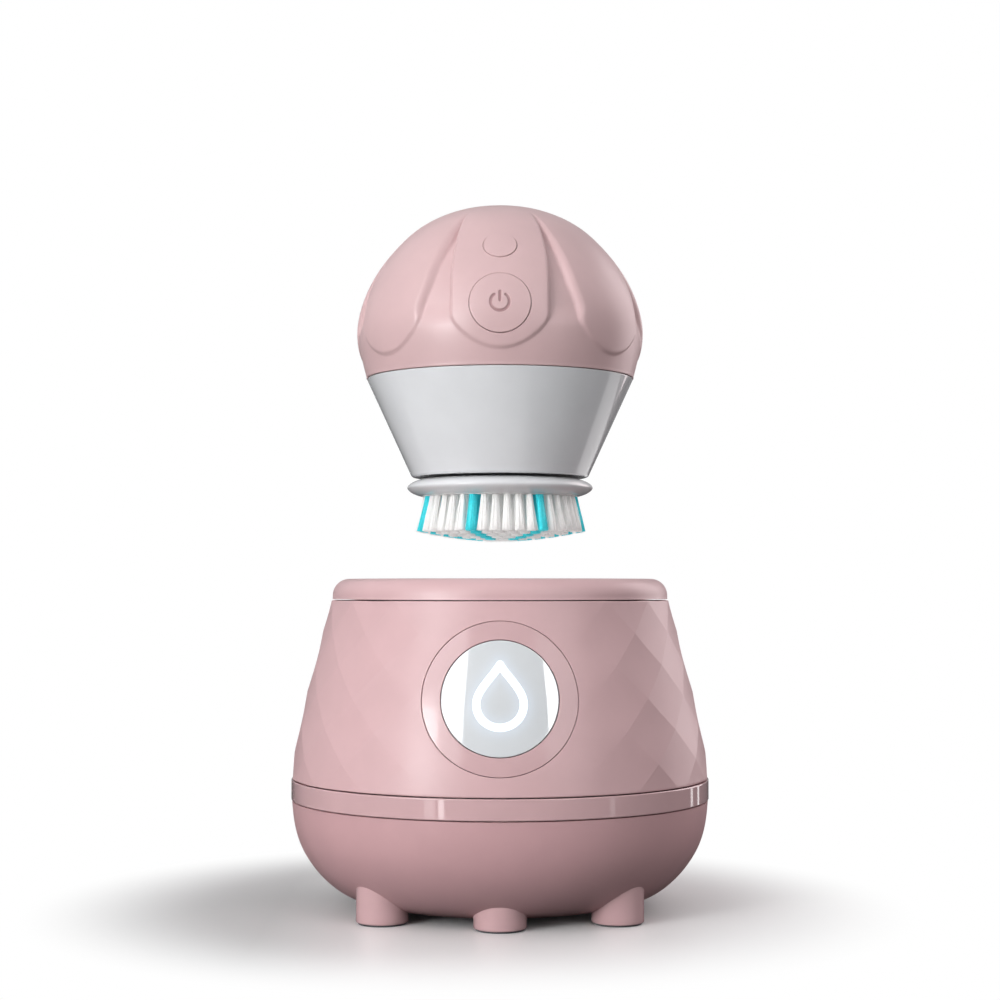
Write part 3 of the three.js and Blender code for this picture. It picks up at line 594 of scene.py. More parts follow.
def wall():
    fine = DIAMOND_PITCH / CELLS
    side = DIAMOND_START + fine * np.arange(int(7.5 * CELLS) + 1)
    run_out = fine * np.arange(FADING)
    plain = DIAMOND_START - fine * FADING
    middle = np.concatenate([
        run_out - DIAMOND_START, np.linspace(-plain, plain, 43), DIAMOND_START - run_out[::-1]
    ])
    azimuths = np.concatenate([middle, side[1:], -side[1:-1][::-1]])
    start = -DIAMOND_START
    azimuths = np.where(azimuths < start - 1e-9, azimuths + 360, azimuths)
    levels = DIAMOND_Z + DIAMOND_HEIGHT / CELLS * np.arange(-60, 61)
    inner = levels[(levels > WALL_LOW + 0.5) & (levels < WALL_HIGH - 0.5)]
    edge = 0.22
    stations = wall_skin.at_height(np.array([WALL_LOW + edge, *inner, WALL_HIGH - edge]))
    reach = BEZEL_R + 0.14
    square = reach + 1.4
    columns = np.nonzero(np.abs(azimuths) < math.degrees(square / 51.0))[0]
    heights = wall_skin.height(stations)
    rows = np.nonzero(np.abs(heights - WINDOW_Z) < square * math.cos(WINDOW_TILT))[0]
    hole = (window, reach, 0.08, 2.6, columns[0], columns[-1], rows[0], rows[-1])
    verts, faces = skin_grid(wall_skin, azimuths, stations, [hole])
    verts = list(verts)
    n, rows_count = len(azimuths), len(stations)
    # rounded lips at both ends of the sleeve, then back inside it
    lips = []
    for j, sign in ((0, -1), (rows_count - 1, 1)):
        base = np.array([verts[i * rows_count + j] for i in range(n)])
        radial = base.copy()
        radial[:, 2] = 0
        radial /= np.linalg.norm(radial, axis=1)[:, None]
        last = [i * rows_count + j for i in range(n)]
        for t in np.radians([30, 60, 90]):
            ring = base - radial * edge * (1 - math.cos(t))
            ring[:, 2] += sign * edge * math.sin(t)
            now = list(range(len(verts), len(verts) + n))
            verts += list(ring)
            lips += bridge(last, now) if sign > 0 else bridge(now, last)
            last = now
        inner_ring = ring - radial * 2.2
        now = list(range(len(verts), len(verts) + n))
        verts += list(inner_ring)
        lips += bridge(last, now) if sign > 0 else bridge(now, last)
    # the creases between diamonds run exactly along cell diagonals
    across = (np.abs((azimuths + 180) % 360 - 180) - DIAMOND_START) / DIAMOND_PITCH
    up = (heights - DIAMOND_Z) / DIAMOND_HEIGHT

    def creased(i, j, k, m):
        for sign in (1, -1):
            a, b = across[i] + sign * up[j], across[k] + sign * up[m]
            if abs(a - round(a)) < 1e-4 and abs(b - round(b)) < 1e-4 and round(a) == round(b):
                return True
        return False

    out, sharp = [], []
    for face in faces:
        if max(face) >= n * rows_count or len(face) != 4:
            out.append(face)
            continue
        (i, j), k = divmod(face[0], rows_count), face[1] // rows_count
        if min(across[i], across[k]) > -0.5 and creased(i, j, k, j + 1):
            out += [[face[0], face[1], face[2]], [face[0], face[2], face[3]]]
            sharp.append((face[0], face[2]))
        elif min(across[i], across[k]) > -0.5 and creased(k, j, i, j + 1):
            out += [[face[0], face[1], face[3]], [face[1], face[2], face[3]]]
            sharp.append((face[1], face[3]))
        else:
            out.append(face)
    make("dock_wall", verts, out + lips, "dock", "pink_satin", ["body_shell"], sharp_edges=sharp)


wall()


def window_parts():
    inner, outer, edge = LENS_R + 0.2, BEZEL_R, 0.12
    section = [(inner, 2.4), (inner, edge + 0.05)]
    section += [
        (inner + edge * (1 - math.sin(t)), edge * (1 - math.cos(t)))
        for t in np.radians([90, 60, 30, 0])
    ]
    section += [(r, 0) for r in np.linspace(inner + 0.3, outer - 0.3, 40)] + edge_out(outer, edge, 2.4)
    verts, faces = plate(wall_skin, window, section, 256)
    make("window_ring", verts, faces, "dock", "pink_gloss", ["window_bezel"])

    # the lit sign: outline of a drop
    drop = drop_outline(5.9)
    section = [(r, 0) for r in np.linspace(0, LENS_R - 0.2, 118)] + edge_out(LENS_R, edge, 2.4)
    verts, faces = plate(wall_skin, window, section, 512)
    flat = window.flat(verts)
    away = outline_distance(flat, drop)
    sign = 1 - smoothstep(0.85, 1.1, away)
    halo = np.exp(-((away / 2.6) ** 2))
    lens = make("window_glass", verts, faces, "dock", "lens_white", ["window_lens"])
    store(lens, "sign", sign)
    store(lens, "halo", halo)


def drop_outline(size):
    """Points along the centre line of a water drop, tip up."""
    t = np.linspace(0, 1, 60)[:, None]

    def bezier(a, b, c, d):
        a, b, c, d = map(np.array, (a, b, c, d))
        return (1 - t) ** 3 * a + 3 * (1 - t) ** 2 * t * b + 3 * (1 - t) * t**2 * c + t**3 * d

    right = bezier((0, 1.45), (0.35, 0.85), (1, 0.35), (1, -0.25))
    bottom = np.array([(math.cos(a), -0.25 + math.sin(a)) for a in np.linspace(0, -math.pi, 60)])
    left = right[::-1] * [-1, 1]
    return np.vstack([right, bottom, left]) * size


def outline_distance(points, line):
    """Distance of each point to a polyline."""
    best = np.full(len(points), 1e9)
    for a, b in zip(line, line[1:]):
        ab = b - a
        if ab @ ab < 1e-12:
            continue
        t = np.clip((points - a) @ ab / (ab @ ab), 0, 1)
        best = np.minimum(best, np.hypot(*(points - a - t[:, None] * ab).T))
    return best


def store(piece, name, values):
    layer = piece.data.attributes.new(name, "FLOAT", "POINT")
    layer.data.foreach_set("value", np.asarray(values, np.float32))


window_parts()

# ------------------------------------------------------------------ dock: rim, band, bowl and feet
SEAT_PLAY = 0.4  # between the collar and its seat
BRUSH_DROP = 54  # how far the brush goes down into the dock


def seat_radius(z):
    """Radius of the dock's seat, which is as steep as the collar."""
    return CONE_R + SEAT_PLAY + CONE_SLOPE * (z - BRUSH_Z + BRUSH_DROP)


def rim():
    outline = [(46.05, 83.5, 0), (46.02, 83.6, 0)]
    outline += arc(41.5, RIM_TOP - 4.5, 4.5, 0, 90, 22)
    outline += arc(38.4, RIM_TOP - 1.7, 1.7, 90, 155, 12)
    seat, under = seat_radius(RIM_LOW), RIM_TOP - 2.6
    outline += [(seat + 0.2, RIM_LOW + 0.4, 0), (seat + 0.3, RIM_LOW, 0), (seat + 2.4, RIM_LOW, 0)]
    outline += [(39.2, under, 0), (43, under, 0), (43.6, 83.5, 0)]
    verts, faces = turned(outline, 320, ring=True)
    make("dock_rim", verts, faces, "dock", "pink_gloss", ["rim_ring"], sharp_over=50, look="pink_gloss_rim")


def band():
    inside, edge = BAND_R - 4.4, 0.28
    corners = [(inside, BAND_LOW, 0), (BAND_R, BAND_LOW, edge)]
    corners += [(BAND_R, BAND_HIGH, edge), (inside, BAND_HIGH, 0)]
    verts, faces = turned(rounded(corners), 360, ring=True)
    look = "pink_gloss_band"
    make("dock_band", verts, faces, "dock", "pink_gloss", ["band_ring"], sharp_over=50, look=look)


bowl_curve = spline(BOWL_LINE)[0]


def bowl():
    outer = bowl_curve[np.linspace(0, len(bowl_curve) - 1, 90).astype(int)].copy()
    outer[-1, 1] = BOWL_TOP
    lip = [(outer[-1][0] - 0.06, BOWL_TOP), (outer[-1][0] - 0.25, BOWL_TOP + 0.05)]
    inner = [(r * 0.958, z + 2.4 * (1 - z / BOWL_TOP)) for r, z in outer[::-3]]
    outline = [(0, 1.8), (20, 1.86)] + [tuple(p) for p in outer] + lip + inner + [(20, 4.25), (0, 4.2)]
    verts, faces = turned(outline, 360)
    # painted shade: the bowl wears the darker copy of the pink satin
    piece = make("dock_bowl", verts, faces, "dock", "pink_satin", ["bowl_shell"], look="pink_satin_bowl_shaded")
    cutters = [rounded_slot(x, 0, 2.4, 26, -1, 8) for x in (-12, -6, 0, 6, 12)]
    for k in (1, 2, 3):
        centre = (low(f"base_screw_{k}") + high(f"base_screw_{k}")) / 2
        verts, faces = turned([(0, -1), (3.2, -1), (3.2, 2.2), (3.0, 2.4), (3.0, 5), (0, 5)], 48, centre[:2])
        cutters.append(make(f"sink_{k}", verts, faces))
    inlet = (low("power_inlet") + high("power_inlet")) / 2
    verts, faces = turned([(0, -8), (5.1, -8), (5.1, 16), (0, 16)], 64)
    turned_back = [(x, 50 + z, inlet.z - y) for x, y, z in verts]
    cutters.append(make("inlet_cut", turned_back, faces))
    carve(piece, *cutters)


def rounded_slot(x, y, width, length, z0, z1):
    """A closed slot-shaped cutter with half-round ends."""
    half, straight = width / 2, length / 2 - width / 2
    ring = []
    for middle, start in ((y + straight, 0), (y - straight, math.pi)):
        turns = np.linspace(start, start + math.pi, 13)
        ring += [(x + half * math.cos(a), middle + half * math.sin(a)) for a in turns]
    n = len(ring)
    verts = [(*p, z0) for p in ring] + [(*p, z1) for p in ring]
    faces = [[i, (i + 1) % n, n + (i + 1) % n, n + i] for i in range(n)]
    faces += [list(range(n - 1, -1, -1)), list(range(n, 2 * n))]
    return make(f"slot_{x}", verts, faces)


def feet():
    """Round pillars scribed to the bowl above them, each on a thin darker pad."""
    for k in range(1, 7):
        name = f"foot_{k}"
        a, b = low(name), high(name)
        radius = (b.x - a.x) / 2 if b.x - a.x < b.y - a.y else (b.y - a.y) / 2
        cx, cy = (a.x + b.x) / 2, (a.y + b.y) / 2
        sides = 96
        angle = np.arange(sides) * TURN / sides
        x, y = np.sin(angle), -np.cos(angle)
        rings = [(radius - 0.75, 0.55), (radius - 0.62, 0.42), (radius - 0.4, 0.42)]
        turns = np.radians([20, 45, 70, 90])
        rings += [(radius - 0.4 + 0.4 * math.sin(t), 0.82 - 0.4 * math.cos(t)) for t in turns]
        away = np.hypot(cx + radius * x, cy + radius * y)
        tops = np.interp(away, bowl_curve[:, 0], bowl_curve[:, 1]) + 0.7
        rings += [(radius, 0.9 + (tops - 0.9) * level) for level in (0.12, 0.35, 0.65, 1.0)]
        verts = np.vstack([np.stack([cx + r * x, cy + r * y, z + 0 * x], -1) for r, z in rings])
        rows = np.arange(len(verts)).reshape(-1, sides).tolist()
        faces = [face for below, above in zip(rows, rows[1:]) for face in bridge(below, above)]
        faces.append(rows[0][::-1])
        look = "pink_satin_foot"
        make(f"dock_foot_{k}", verts, faces, "dock", "pink_satin", [name], sharp_over=50, look=look)
        pad = rounded([(0, 0.6, 0), (0, 0, 0), (radius - 0.5, 0, 0.25), (radius - 0.5, 0.6, 0)])
        pad = [(0, 0, 0)] + [tuple(p) for p in pad[2:]]
        verts, faces = turned(pad, 64, (cx, cy))
        make(f"dock_foot_pad_{k}", verts, faces, "dock", "seal_rubber")


rim()
band()
bowl()
feet()

# ------------------------------------------------------------------ dock: well, screws and inlet


def well():
    top = high("well_cup").z
    mouth = seat_radius(top) + 0.5
    outline = [
        (0, WELL_FLOOR - 2, 0), (27, WELL_FLOOR - 2, 0), (30.6, WELL_FLOOR + 3, 2), (30.6, 69, 3),
        (mouth + 2, top, 0), (mouth, top, 0.5), (28.6, 70, 6), (28.6, WELL_FLOOR + 4, 3),
        (25, WELL_FLOOR, 3), (0, WELL_FLOOR, 0),
    ]
    verts, faces = turned(rounded(outline, 6), 256)
    piece = make("dock_well", verts, faces, "dock", "white_plastic", ["well_cup"])
    under, over = WELL_FLOOR - 5, WELL_FLOOR + 5
    verts, faces = turned([(0, under), (9.3, under), (9.3, over), (0, over)], 128)
    cutters = [make("lamp_cut", verts, faces)]
    for k in range(6):
        slot = rounded_slot(0, -18, 3, 9, under, over)
        slot.name = f"vent_{k}"
        slot.rotation_euler.z = k * TURN / 6
        cutters.append(slot)
    bpy.context.view_layer.update()
    carve(piece, *cutters)
    glass_top, glass_foot = WELL_FLOOR + 0.3, WELL_FLOOR - 2
    glass = [(0, glass_top, 0), (9, glass_top, 0.3), (9, glass_foot, 0), (0, glass_foot, 0)]
    verts, faces = turned(rounded(glass)[::-1], 128)
    lamp = make("dock_lamp_glass", verts, faces, "dock", "lens_white", ["uv_window"], sharp_over=50)
    for value in ("sign", "halo"):
        store(lamp, value, np.zeros(len(lamp.data.vertices)))


well()


def screw(name, group, body, head, shank, length):
    """A pan-head screw with a cross recess; its head faces down."""
    cx, cy, _ = middle_of(name)
    z = low(name).z
    neck, end = z + shank * 1.2, z + length
    outline = [(0, z, 0), (head, z, 0.5), (head, neck, 0.1)]
    outline += [(shank, neck, 0), (shank, end, 0), (0, end + shank, 0)]
    verts, faces = turned(rounded(outline), 48, (cx, cy))
    piece = make(f"{group}_{name}", verts, faces, body, "steel", [name], sharp_over=45)
    cross = []
    for k, angle in enumerate((0, 90)):
        slot = rounded_slot(0, 0, 0.7, head * 1.25, -1.0, shank * 0.7)
        slot.name = f"cross_{name}_{k}"
        slot.location = (cx * MM, cy * MM, z * MM)
        slot.rotation_euler.z = math.radians(angle)
        cross.append(slot)
    bpy.context.view_layer.update()
    carve(piece, *cross)


for k in (1, 2, 3):
    screw(f"base_screw_{k}", "dock", "dock", 2.6, 1.3, 31)
    screw(f"chassis_screw_{k}", "brush", "handle", 2.3, 0.85, 7)


def inlet():
    """A barrel socket with its centre pin, opening to the back."""
    front, centre_z = low("power_inlet").y, middle_of("power_inlet")[2]
    barrel = [(0, 0, 0), (4.8, 0, 0), (4.8, 12.4, 0.35), (3.2, 12.4, 0.25), (3.2, 2, 0)]
    pin = [(1, 2, 0), (1, 9.4, 0.5), (0, 10, 0)]
    verts, faces = turned(rounded(barrel + pin), 64)
    back = [(x, front + z, centre_z - y) for x, y, z in verts]
    make("dock_inlet", back, faces, "dock", "black_plastic", ["power_inlet"], sharp_over=45)


inlet()

# ------------------------------------------------------------------ brush: dome with its petals
PETALS = 7
PETAL_PITCH = 360 / PETALS
PETAL_HALF = 19.0
PETAL_SIDE_Z, PETAL_TIP_Z, VALLEY_TOP_Z = 40.0, 31.6, 70.5
LOW_RISE, SIDE_RISE = 0.5, 1.2  # how far petals stand out: all round, and more along their sides
LOW_BEVEL, SIDE_BEVEL = 1.2, 1.4  # width of their bevels, and what the side petals' flanks add to it
BEVEL_REACH, SIDE_REACH = 0.45, 1.1  # how far the bevels reach past the outline


def petal_half(z):
    """Half a petal's width in degrees, above its widest place."""
    rise = np.clip((z - PETAL_SIDE_Z) / (VALLEY_TOP_Z - PETAL_SIDE_Z), 0, 1)
    return PETAL_HALF + (PETAL_PITCH / 2 - PETAL_HALF) * rise**1.6


def petal_foot(across):
    """Height of the round lower end; across runs from 0 in the middle to 1 at the sides."""
    return PETAL_SIDE_Z - (PETAL_SIDE_Z - PETAL_TIP_Z) * (1 - across**2) ** 0.8


def petal_line(skin):
    """Half of a petal's outline as azimuth and length along the dome, from the valley's tip to its foot."""
    z = np.linspace(VALLEY_TOP_Z, PETAL_SIDE_Z, 160)
    x = np.linspace(1, 0, 90)[1:]
    azimuth = np.concatenate([petal_half(z), PETAL_HALF * x])
    return azimuth, skin.at_height(np.concatenate([z, petal_foot(x)]) + BRUSH_Z)


def petal_relief(skin, azimuth, s):
    """Depth below the crests: the bevels are wide on the side petals' flanks, narrow round the front one."""
    line_a, line_s = petal_line(skin)
    line_r = skin.radius(line_s)
    az, run = azimuth.ravel(), s.ravel()
    z, r = skin.height(run) - BRUSH_Z, skin.radius(run)
    out = np.ones(len(az))
    for side in (-1, 0, 1):  # the petal this point is in or nearest to, and its neighbours
        petal = np.round(az / PETAL_PITCH) + side
        off = np.abs(az - PETAL_PITCH * petal)
        front = (petal % PETALS) == 0
        away = np.full(len(az), np.inf)
        for point_a, point_s, point_r in zip(line_a, line_s, line_r):
            away = np.minimum(away, np.hypot(np.radians(off - point_a) * (r + point_r) / 2, run - point_s))
        above_foot = z > petal_foot(np.clip(off / PETAL_HALF, 0, 1))
        inside = np.where(z >= PETAL_SIDE_Z, off < petal_half(z), (off < PETAL_HALF) & above_foot)
        signed = np.where(inside, -away, away)
        width = np.where(front, LOW_BEVEL, LOW_BEVEL + SIDE_BEVEL * smoothstep(38, 44, z))
        reach = BEVEL_REACH + np.where(front, 0, SIDE_REACH * smoothstep(41, 50, z))
        t = np.clip((signed - reach) / width + 1, 0, 1)
        knee = 0.93  # where the convex bevel turns into the level valley
        drop = np.where(t < knee, t**2.2, 1 - (1 - knee**2.2) * ((1 - t) / (1 - knee)) ** 2)
        out = np.minimum(out, drop)
    fade = 1 - smoothstep(VALLEY_TOP_Z - 3, VALLEY_TOP_Z + 0.5, z)
    deep = LOW_RISE + SIDE_RISE * smoothstep(37, 44, z)
    return (out * deep * fade).reshape(azimuth.shape)


dome_skin = Skin(DOME_LINE, DOME_LOW - DOME_LINE[0][1], petal_relief, closed_top=True)
smooth_dome = Skin(DOME_LINE, DOME_LOW - DOME_LINE[0][1], None, closed_top=True)
planes = {k: Plane(b["reach"], BRUSH_Z + b["z"], b["tilt"]) for k, b in BUTTONS.items()}


def dome():
    azimuths = (np.arange(560) + 0.5) * 360 / 560 - 180
    stations = np.linspace(0.25, dome_skin.length - 0.3, 162)
    holes = []
    for key, plane in planes.items():
        radius = BUTTONS[key]["r"] + 0.12
        square = radius + 1.3
        s0 = dome_skin.at_height(plane.centre[2])
        span = math.degrees(math.asin(square / dome_skin.radius(s0)))
        columns = np.nonzero(np.abs(azimuths) < span)[0]
        rows = np.nonzero(np.abs(stations - s0) < square)[0]
        holes.append((plane, radius, 0.05, 2.4, columns[0], columns[-1], rows[0], rows[-1]))
    verts, faces = skin_grid(dome_skin, azimuths, stations, holes)
    verts, faces = list(verts), list(faces)
    n, rows = len(azimuths), len(stations)
    top = len(verts)
    verts.append((0, 0, DOME_TOP))
    last = [i * rows + rows - 1 for i in range(n)]
    faces += [[last[i], last[(i + 1) % n], top] for i in range(n)]
    base = np.array([verts[i * rows] for i in range(n)])
    radial = base * [1, 1, 0]
    radial /= np.linalg.norm(radial, axis=1)[:, None]
    last = [i * rows for i in range(n)]
    lip = DOME_LOW - 0.2
    for inward, z in ((0.01, lip + 0.06), (0.06, lip + 0.01), (0.15, lip), (2.4, lip), (2.6, DOME_LOW + 3)):
        ring = base - radial * inward
        ring[:, 2] = z
        now = list(range(len(verts), len(verts) + n))
        verts += list(ring)
        faces += bridge(now, last)
        last = now
    make("brush_dome", verts, faces, "handle", "pink_soft", ["dome_shell"])


def power_sign(flat):
    """How far each point of the button lies inside the sign, 0 to 1: a ring open at the top and a bar."""
    x, y = flat[:, 0], flat[:, 1]
    middle, gap = 2.42, math.radians(38)
    on_ring = np.abs(np.hypot(x, y) - middle)
    at_tips = np.hypot(np.abs(x) - middle * math.sin(gap), y - middle * math.cos(gap))
    ring = np.where(np.abs(np.arctan2(x, y)) > gap, on_ring, at_tips)
    bar = np.hypot(x, y - np.clip(y, 0.35, 2.75))
    return 1 - smoothstep(0.25, 0.48, np.minimum(ring, bar))


def button(key, body, rings, sides, dent=None, look=None):
    """A button that stands a little proud of the dome, with a rounded edge."""
    radius, proud = BUTTONS[key]["r"], 0.26
    section = [(r, -proud) for r in np.linspace(0, radius - 0.45, rings)] + edge_out(radius, 0.18, 1.9, proud)
    verts, faces = plate(smooth_dome, planes[key], section, sides, dent)
    piece = make(f"brush_{key}_button", verts, faces, body, "pink_soft", [f"{key}_button"], look=look)
    if dent:
        store(piece, "sign", power_sign(planes[key].flat(verts)))


def engraving(flat):
    return 0.22 * power_sign(flat)


dome()
button("power", "power_key", 74, 420, engraving, "pink_soft_signed")
button("speed", "speed_key", 30, 160)

# ------------------------------------------------------------------ brush: collar and head


def collar():
    top_r = CONE_R + CONE_SLOPE * (COLLAR_TOP - BRUSH_Z)
    corners = [(CONE_R - 2.3, BRUSH_Z + 1, 0), (CONE_R - 1.9, BRUSH_Z, 0.3), (CONE_R + 0.05, BRUSH_Z, 1.1)]
    corners += [(top_r, COLLAR_TOP, 0.15), (35.9, COLLAR_TOP, 0), (35.9, COLLAR_TOP - 1, 0)]
    verts, faces = turned(rounded(corners, 10), 320)
    make("brush_collar", verts, faces, "handle", "grey_gloss", ["collar_shell"])


def flange():
    bottom = low("tuft_plate").z + 0.2  # the plate sits flush in the flange's underside
    middle, half, reach, power = (FLANGE_TOP + bottom) / 2, (FLANGE_TOP - bottom) / 2, 5.0, 2 / 1.7
    outline = [(0, bottom, 0)]
    for t in np.radians(np.linspace(-90, 90, 49)):
        up = math.copysign(abs(math.sin(t)) ** power, t)
        outline.append((FLANGE_R - reach * (1 - math.cos(t) ** power), middle + half * up, 0))
    outline += [(3.3, FLANGE_TOP, 0), (3.3, FLANGE_TOP - 2.8, 0), (0, FLANGE_TOP - 2.8, 0)]
    verts, faces = turned(outline, 288)
    # painted light: the flange wears a lighter copy of the collar's grey gloss
    look = "grey_gloss_flange_lit"
    make("head_disc", verts, faces, "brush_head", "grey_gloss", ["head_flange"], sharp_over=35, look=look)
    z0, z1 = low("tuft_plate").z + 0.08, bottom + 0.1
    r = high("tuft_plate").x - 0.3
    outline = rounded([(0, z0, 0), (r, z0, 0.1), (r, z1, 0), (0, z1, 0)])
    verts, faces = turned(outline, 160)
    make("head_plate", verts, faces, "brush_head", "white_plastic", ["tuft_plate"])


SPOKE_START = 31.0
SPOKES = 7
RINGS = 6
FIELD_R = 23.7  # radius of the tufted field at the tips
TIP_REACH = 23.65  # filaments' tips go no further out
TUFT_ROOT_Z = TUFT_BASE_Z + 0.45
FILAMENT_R = 0.105
SPREADING = 1.25  # filaments leave their root upright and spread towards the tips
BOW = 0.12
CORE = 0.88  # of a tuft's width
GOLDEN_ANGLE = 2.399963


def tip_height(r):
    """The tips lie on a shallow dome."""
    return TUFT_TIP_Z + 0.05 + 2.8 * (r / FIELD_R) ** 1.8


def loft(verts, faces, loops):
    """Adds a rod through loops of points, closed at its end; gives back its first loop."""
    first, n = len(verts), len(loops[0])
    for loop in loops:
        verts += loop
    for p in range(first, len(verts) - n, n):
        faces += [[p + m, p + n + m, p + n + (m + 1) % n, p + (m + 1) % n] for m in range(n)]
    faces.append(list(range(len(verts) - n, len(verts)))[::-1])
    return list(range(first, first + n))


def tuft(verts, faces, angle, ring, filaments=36, sides=4, foot_r=0.82, deep=1.0, broad=1.68):
    """Adds one tuft that spreads a little outwards and towards its tips: a core with filaments around it."""
    base_r, tip_r = 20.35 * ring / RINGS, 22.35 * ring / RINGS
    direction = np.array([math.sin(angle), -math.cos(angle)])
    cross = np.array([math.cos(angle), math.sin(angle)])

    def ends(a, b, lean=0, twist=0):
        """Root and tip of a rod in plan; a and b are its place in the tuft."""
        root = direction * (base_r + foot_r * a) + cross * foot_r * b
        return root, direction * (tip_r + deep * a + lean) + cross * (broad * b + twist)

    def along(root, tip, t, bow):
        return root + (tip - root) * t**SPREADING + direction * bow * math.sin(math.pi * t)

    for k in range(filaments):
        spot = math.sqrt((k + 0.5) / filaments)
        turn = k * GOLDEN_ANGLE + angle * 3
        a, b = spot * math.cos(turn), spot * math.sin(turn)
        lean, twist, reach = random.gauss(0, 0.06), random.gauss(0, 0.06), random.gauss(0, 0.03)
        bow = random.gauss(BOW, 0.07)
        root, tip = ends(a, b, lean, twist)
        tip *= min(1, TIP_REACH / math.hypot(*tip))
        top = tip_height(math.hypot(*tip)) + abs(reach) * 0.9
        loops = []
        for t in (0, 0.3, 0.6, 0.85, 1.0):
            x, y = along(root, tip, t, bow)
            radius, z = FILAMENT_R * (1 - 0.25 * t), TUFT_ROOT_Z + (top - TUFT_ROOT_Z) * t
            phi = [TURN * m / sides + turn for m in range(sides)]
            loops.append([(x + radius * math.cos(f), y + radius * math.sin(f), z) for f in phi])
        loft(verts, faces, loops)
    core = [ends(CORE * math.cos(phi), CORE * math.sin(phi)) for phi in np.arange(10) * TURN / 10]
    tops = [tip_height(math.hypot(*tip)) + 0.12 for _, tip in core]
    loops = []
    for t in (0, 0.5, 1.0):
        heights = [TUFT_ROOT_Z + (top - TUFT_ROOT_Z) * t for top in tops]
        loops.append([(*along(root, tip, t, BOW), z) for (root, tip), z in zip(core, heights)])
    faces.append(loft(verts, faces, loops))


def bristles():
    white_verts, white_faces = [], []
    rows = [([], []) for _ in range(SPOKES)]
    tuft(white_verts, white_faces, 0.0, 0)
    for ring in range(1, RINGS + 1):
        for m in range(SPOKES * ring):
            angle = math.radians(SPOKE_START + 360 * m / (SPOKES * ring))
            if ring > 1 and m % ring == 0:
                tuft(*rows[m // ring], angle, ring, filaments=44, foot_r=1.1, deep=1.5, broad=1.45)
            else:
                tuft(white_verts, white_faces, angle, ring)
    make("head_tufts_white", white_verts, white_faces, "brush_head", "bristle_white", ["white_bristles"])
    for k, (verts, faces) in enumerate(rows, 1):
        make(f"head_tufts_cyan_{k}", verts, faces, "brush_head", "bristle_cyan", [f"cyan_row_{k}"])


collar()
flange()
bristles()

# ------------------------------------------------------------------ every CAD node that is still shown
SLOT_OF = {part["node"]: part["material_slot"] for part in frame["record"]["subparts"]}
for name, node in frame["nodes"].items():
    node.data.materials.clear()
    node.data.materials.append(FINISH[SLOT_OF[name]])

# ------------------------------------------------------------------ stage, light and camera
scene = bpy.context.scene
scene.view_settings.view_transform = "Standard"
FLOOR_SEEN, FLOOR_FELT = 0.98, 0.1
WORLD_LOW, WORLD_HIGH = 0.17, 0.56


def floor():
    n, size = 4, 3.0
    line = np.linspace(-size, size, n + 1)
    verts = [(x, y, 0) for x in line for y in line]
    corner = [i * (n + 1) + j for i in range(n) for j in range(n)]
    faces = [[k, k + n + 1, k + n + 2, k + 1] for k in corner]
    mesh = bpy.data.meshes.new("floor")
    mesh.from_pydata(verts, [], faces)
    piece = bpy.data.objects.new("floor", mesh)
    scene.collection.objects.link(piece)
    piece.data.materials.append(floor_finish())


def by_ray(tree, kind, felt, seen):
    """Shows the camera one shader and everything else the other."""
    ray = add(tree, "LightPath").outputs["Is Camera Ray"]
    both = add(tree, "MixShader", {"Fac": ray, 1: felt, 2: seen})
    add(tree, "Output" + kind, {"Surface": both.outputs["Shader"]})


def floor_finish():
    """A white sweep: lit near the object, running out to pure white, and dim as a source of light; painted
    shadow darkens its left side near the object.
    """
    material = bpy.data.materials.new("floor_white")
    material.use_nodes = True
    tree = material.node_tree
    tree.nodes.clear()
    place = add(tree, "TexCoord").outputs["Object"]
    across = add(tree, "SeparateXYZ", {"Vector": place}).outputs["X"]
    # painted shadow: the base colour grows darker towards the left beside the object
    shade = spread(tree, across, 0.7 * FLOOR_SEEN, FLOOR_SEEN, (-0.06, -0.03))
    near = add(tree, "BsdfPrincipled", {"Base Color": shade, "Roughness": 0.35, "Specular IOR Level": 0.25})
    # painted shadow: the run-out to white is centred further right, so the floor stays darker for longer on
    # the left
    shifted = add(tree, "VectorMath", {0: place, 1: (0.008, 0, 0)}, operation="ADD").outputs["Vector"]
    away = add(tree, "VectorMath", {0: shifted}, operation="LENGTH").outputs["Value"]
    limits = {"Value": away, "From Min": 0.066, "From Max": 0.122}
    ramp = add(tree, "MapRange", limits, interpolation_type="SMOOTHSTEP").outputs["Result"]
    white = add(tree, "Emission", {"Strength": 1.0}).outputs["Emission"]
    seen = add(tree, "MixShader", {"Fac": ramp, 1: near.outputs["BSDF"], 2: white})
    dim = add(tree, "BsdfDiffuse", {"Color": (*[FLOOR_FELT] * 3, 1)})
    by_ray(tree, "Material", dim.outputs["BSDF"], seen.outputs["Shader"])
    return material


def room():
    """A room that is seen as white and lights softly, more from above than from the sides."""
    scene.world = bpy.data.worlds.new("studio")
    scene.world.use_nodes = True
    tree = scene.world.node_tree
    tree.nodes.clear()
    up = add(tree, "SeparateXYZ", {"Vector": add(tree, "TexCoord").outputs["Generated"]}).outputs["Z"]
    strength = spread(tree, up, WORLD_LOW, WORLD_HIGH, (0.0, 0.6))
    felt = add(tree, "Background", {"Color": (0.98, 0.99, 1, 1), "Strength": strength})
    seen = add(tree, "Background", {"Color": (1, 1, 1, 1), "Strength": 1.0})
    by_ray(tree, "World", felt.outputs["Background"], seen.outputs["Background"])


def area(name, position, target, width, height, watts, color=(1, 1, 1)):
    light = bpy.data.lights.new(name, "AREA")
    light.shape = "RECTANGLE"
    light.size, light.size_y = width, height
    light.energy = watts
    light.color = color
    holder = bpy.data.objects.new(name, light)
    scene.collection.objects.link(holder)
    holder.location = position
    holder.rotation_euler = (Vector(target) - Vector(position)).to_track_quat("-Z", "Y").to_euler()
    return holder


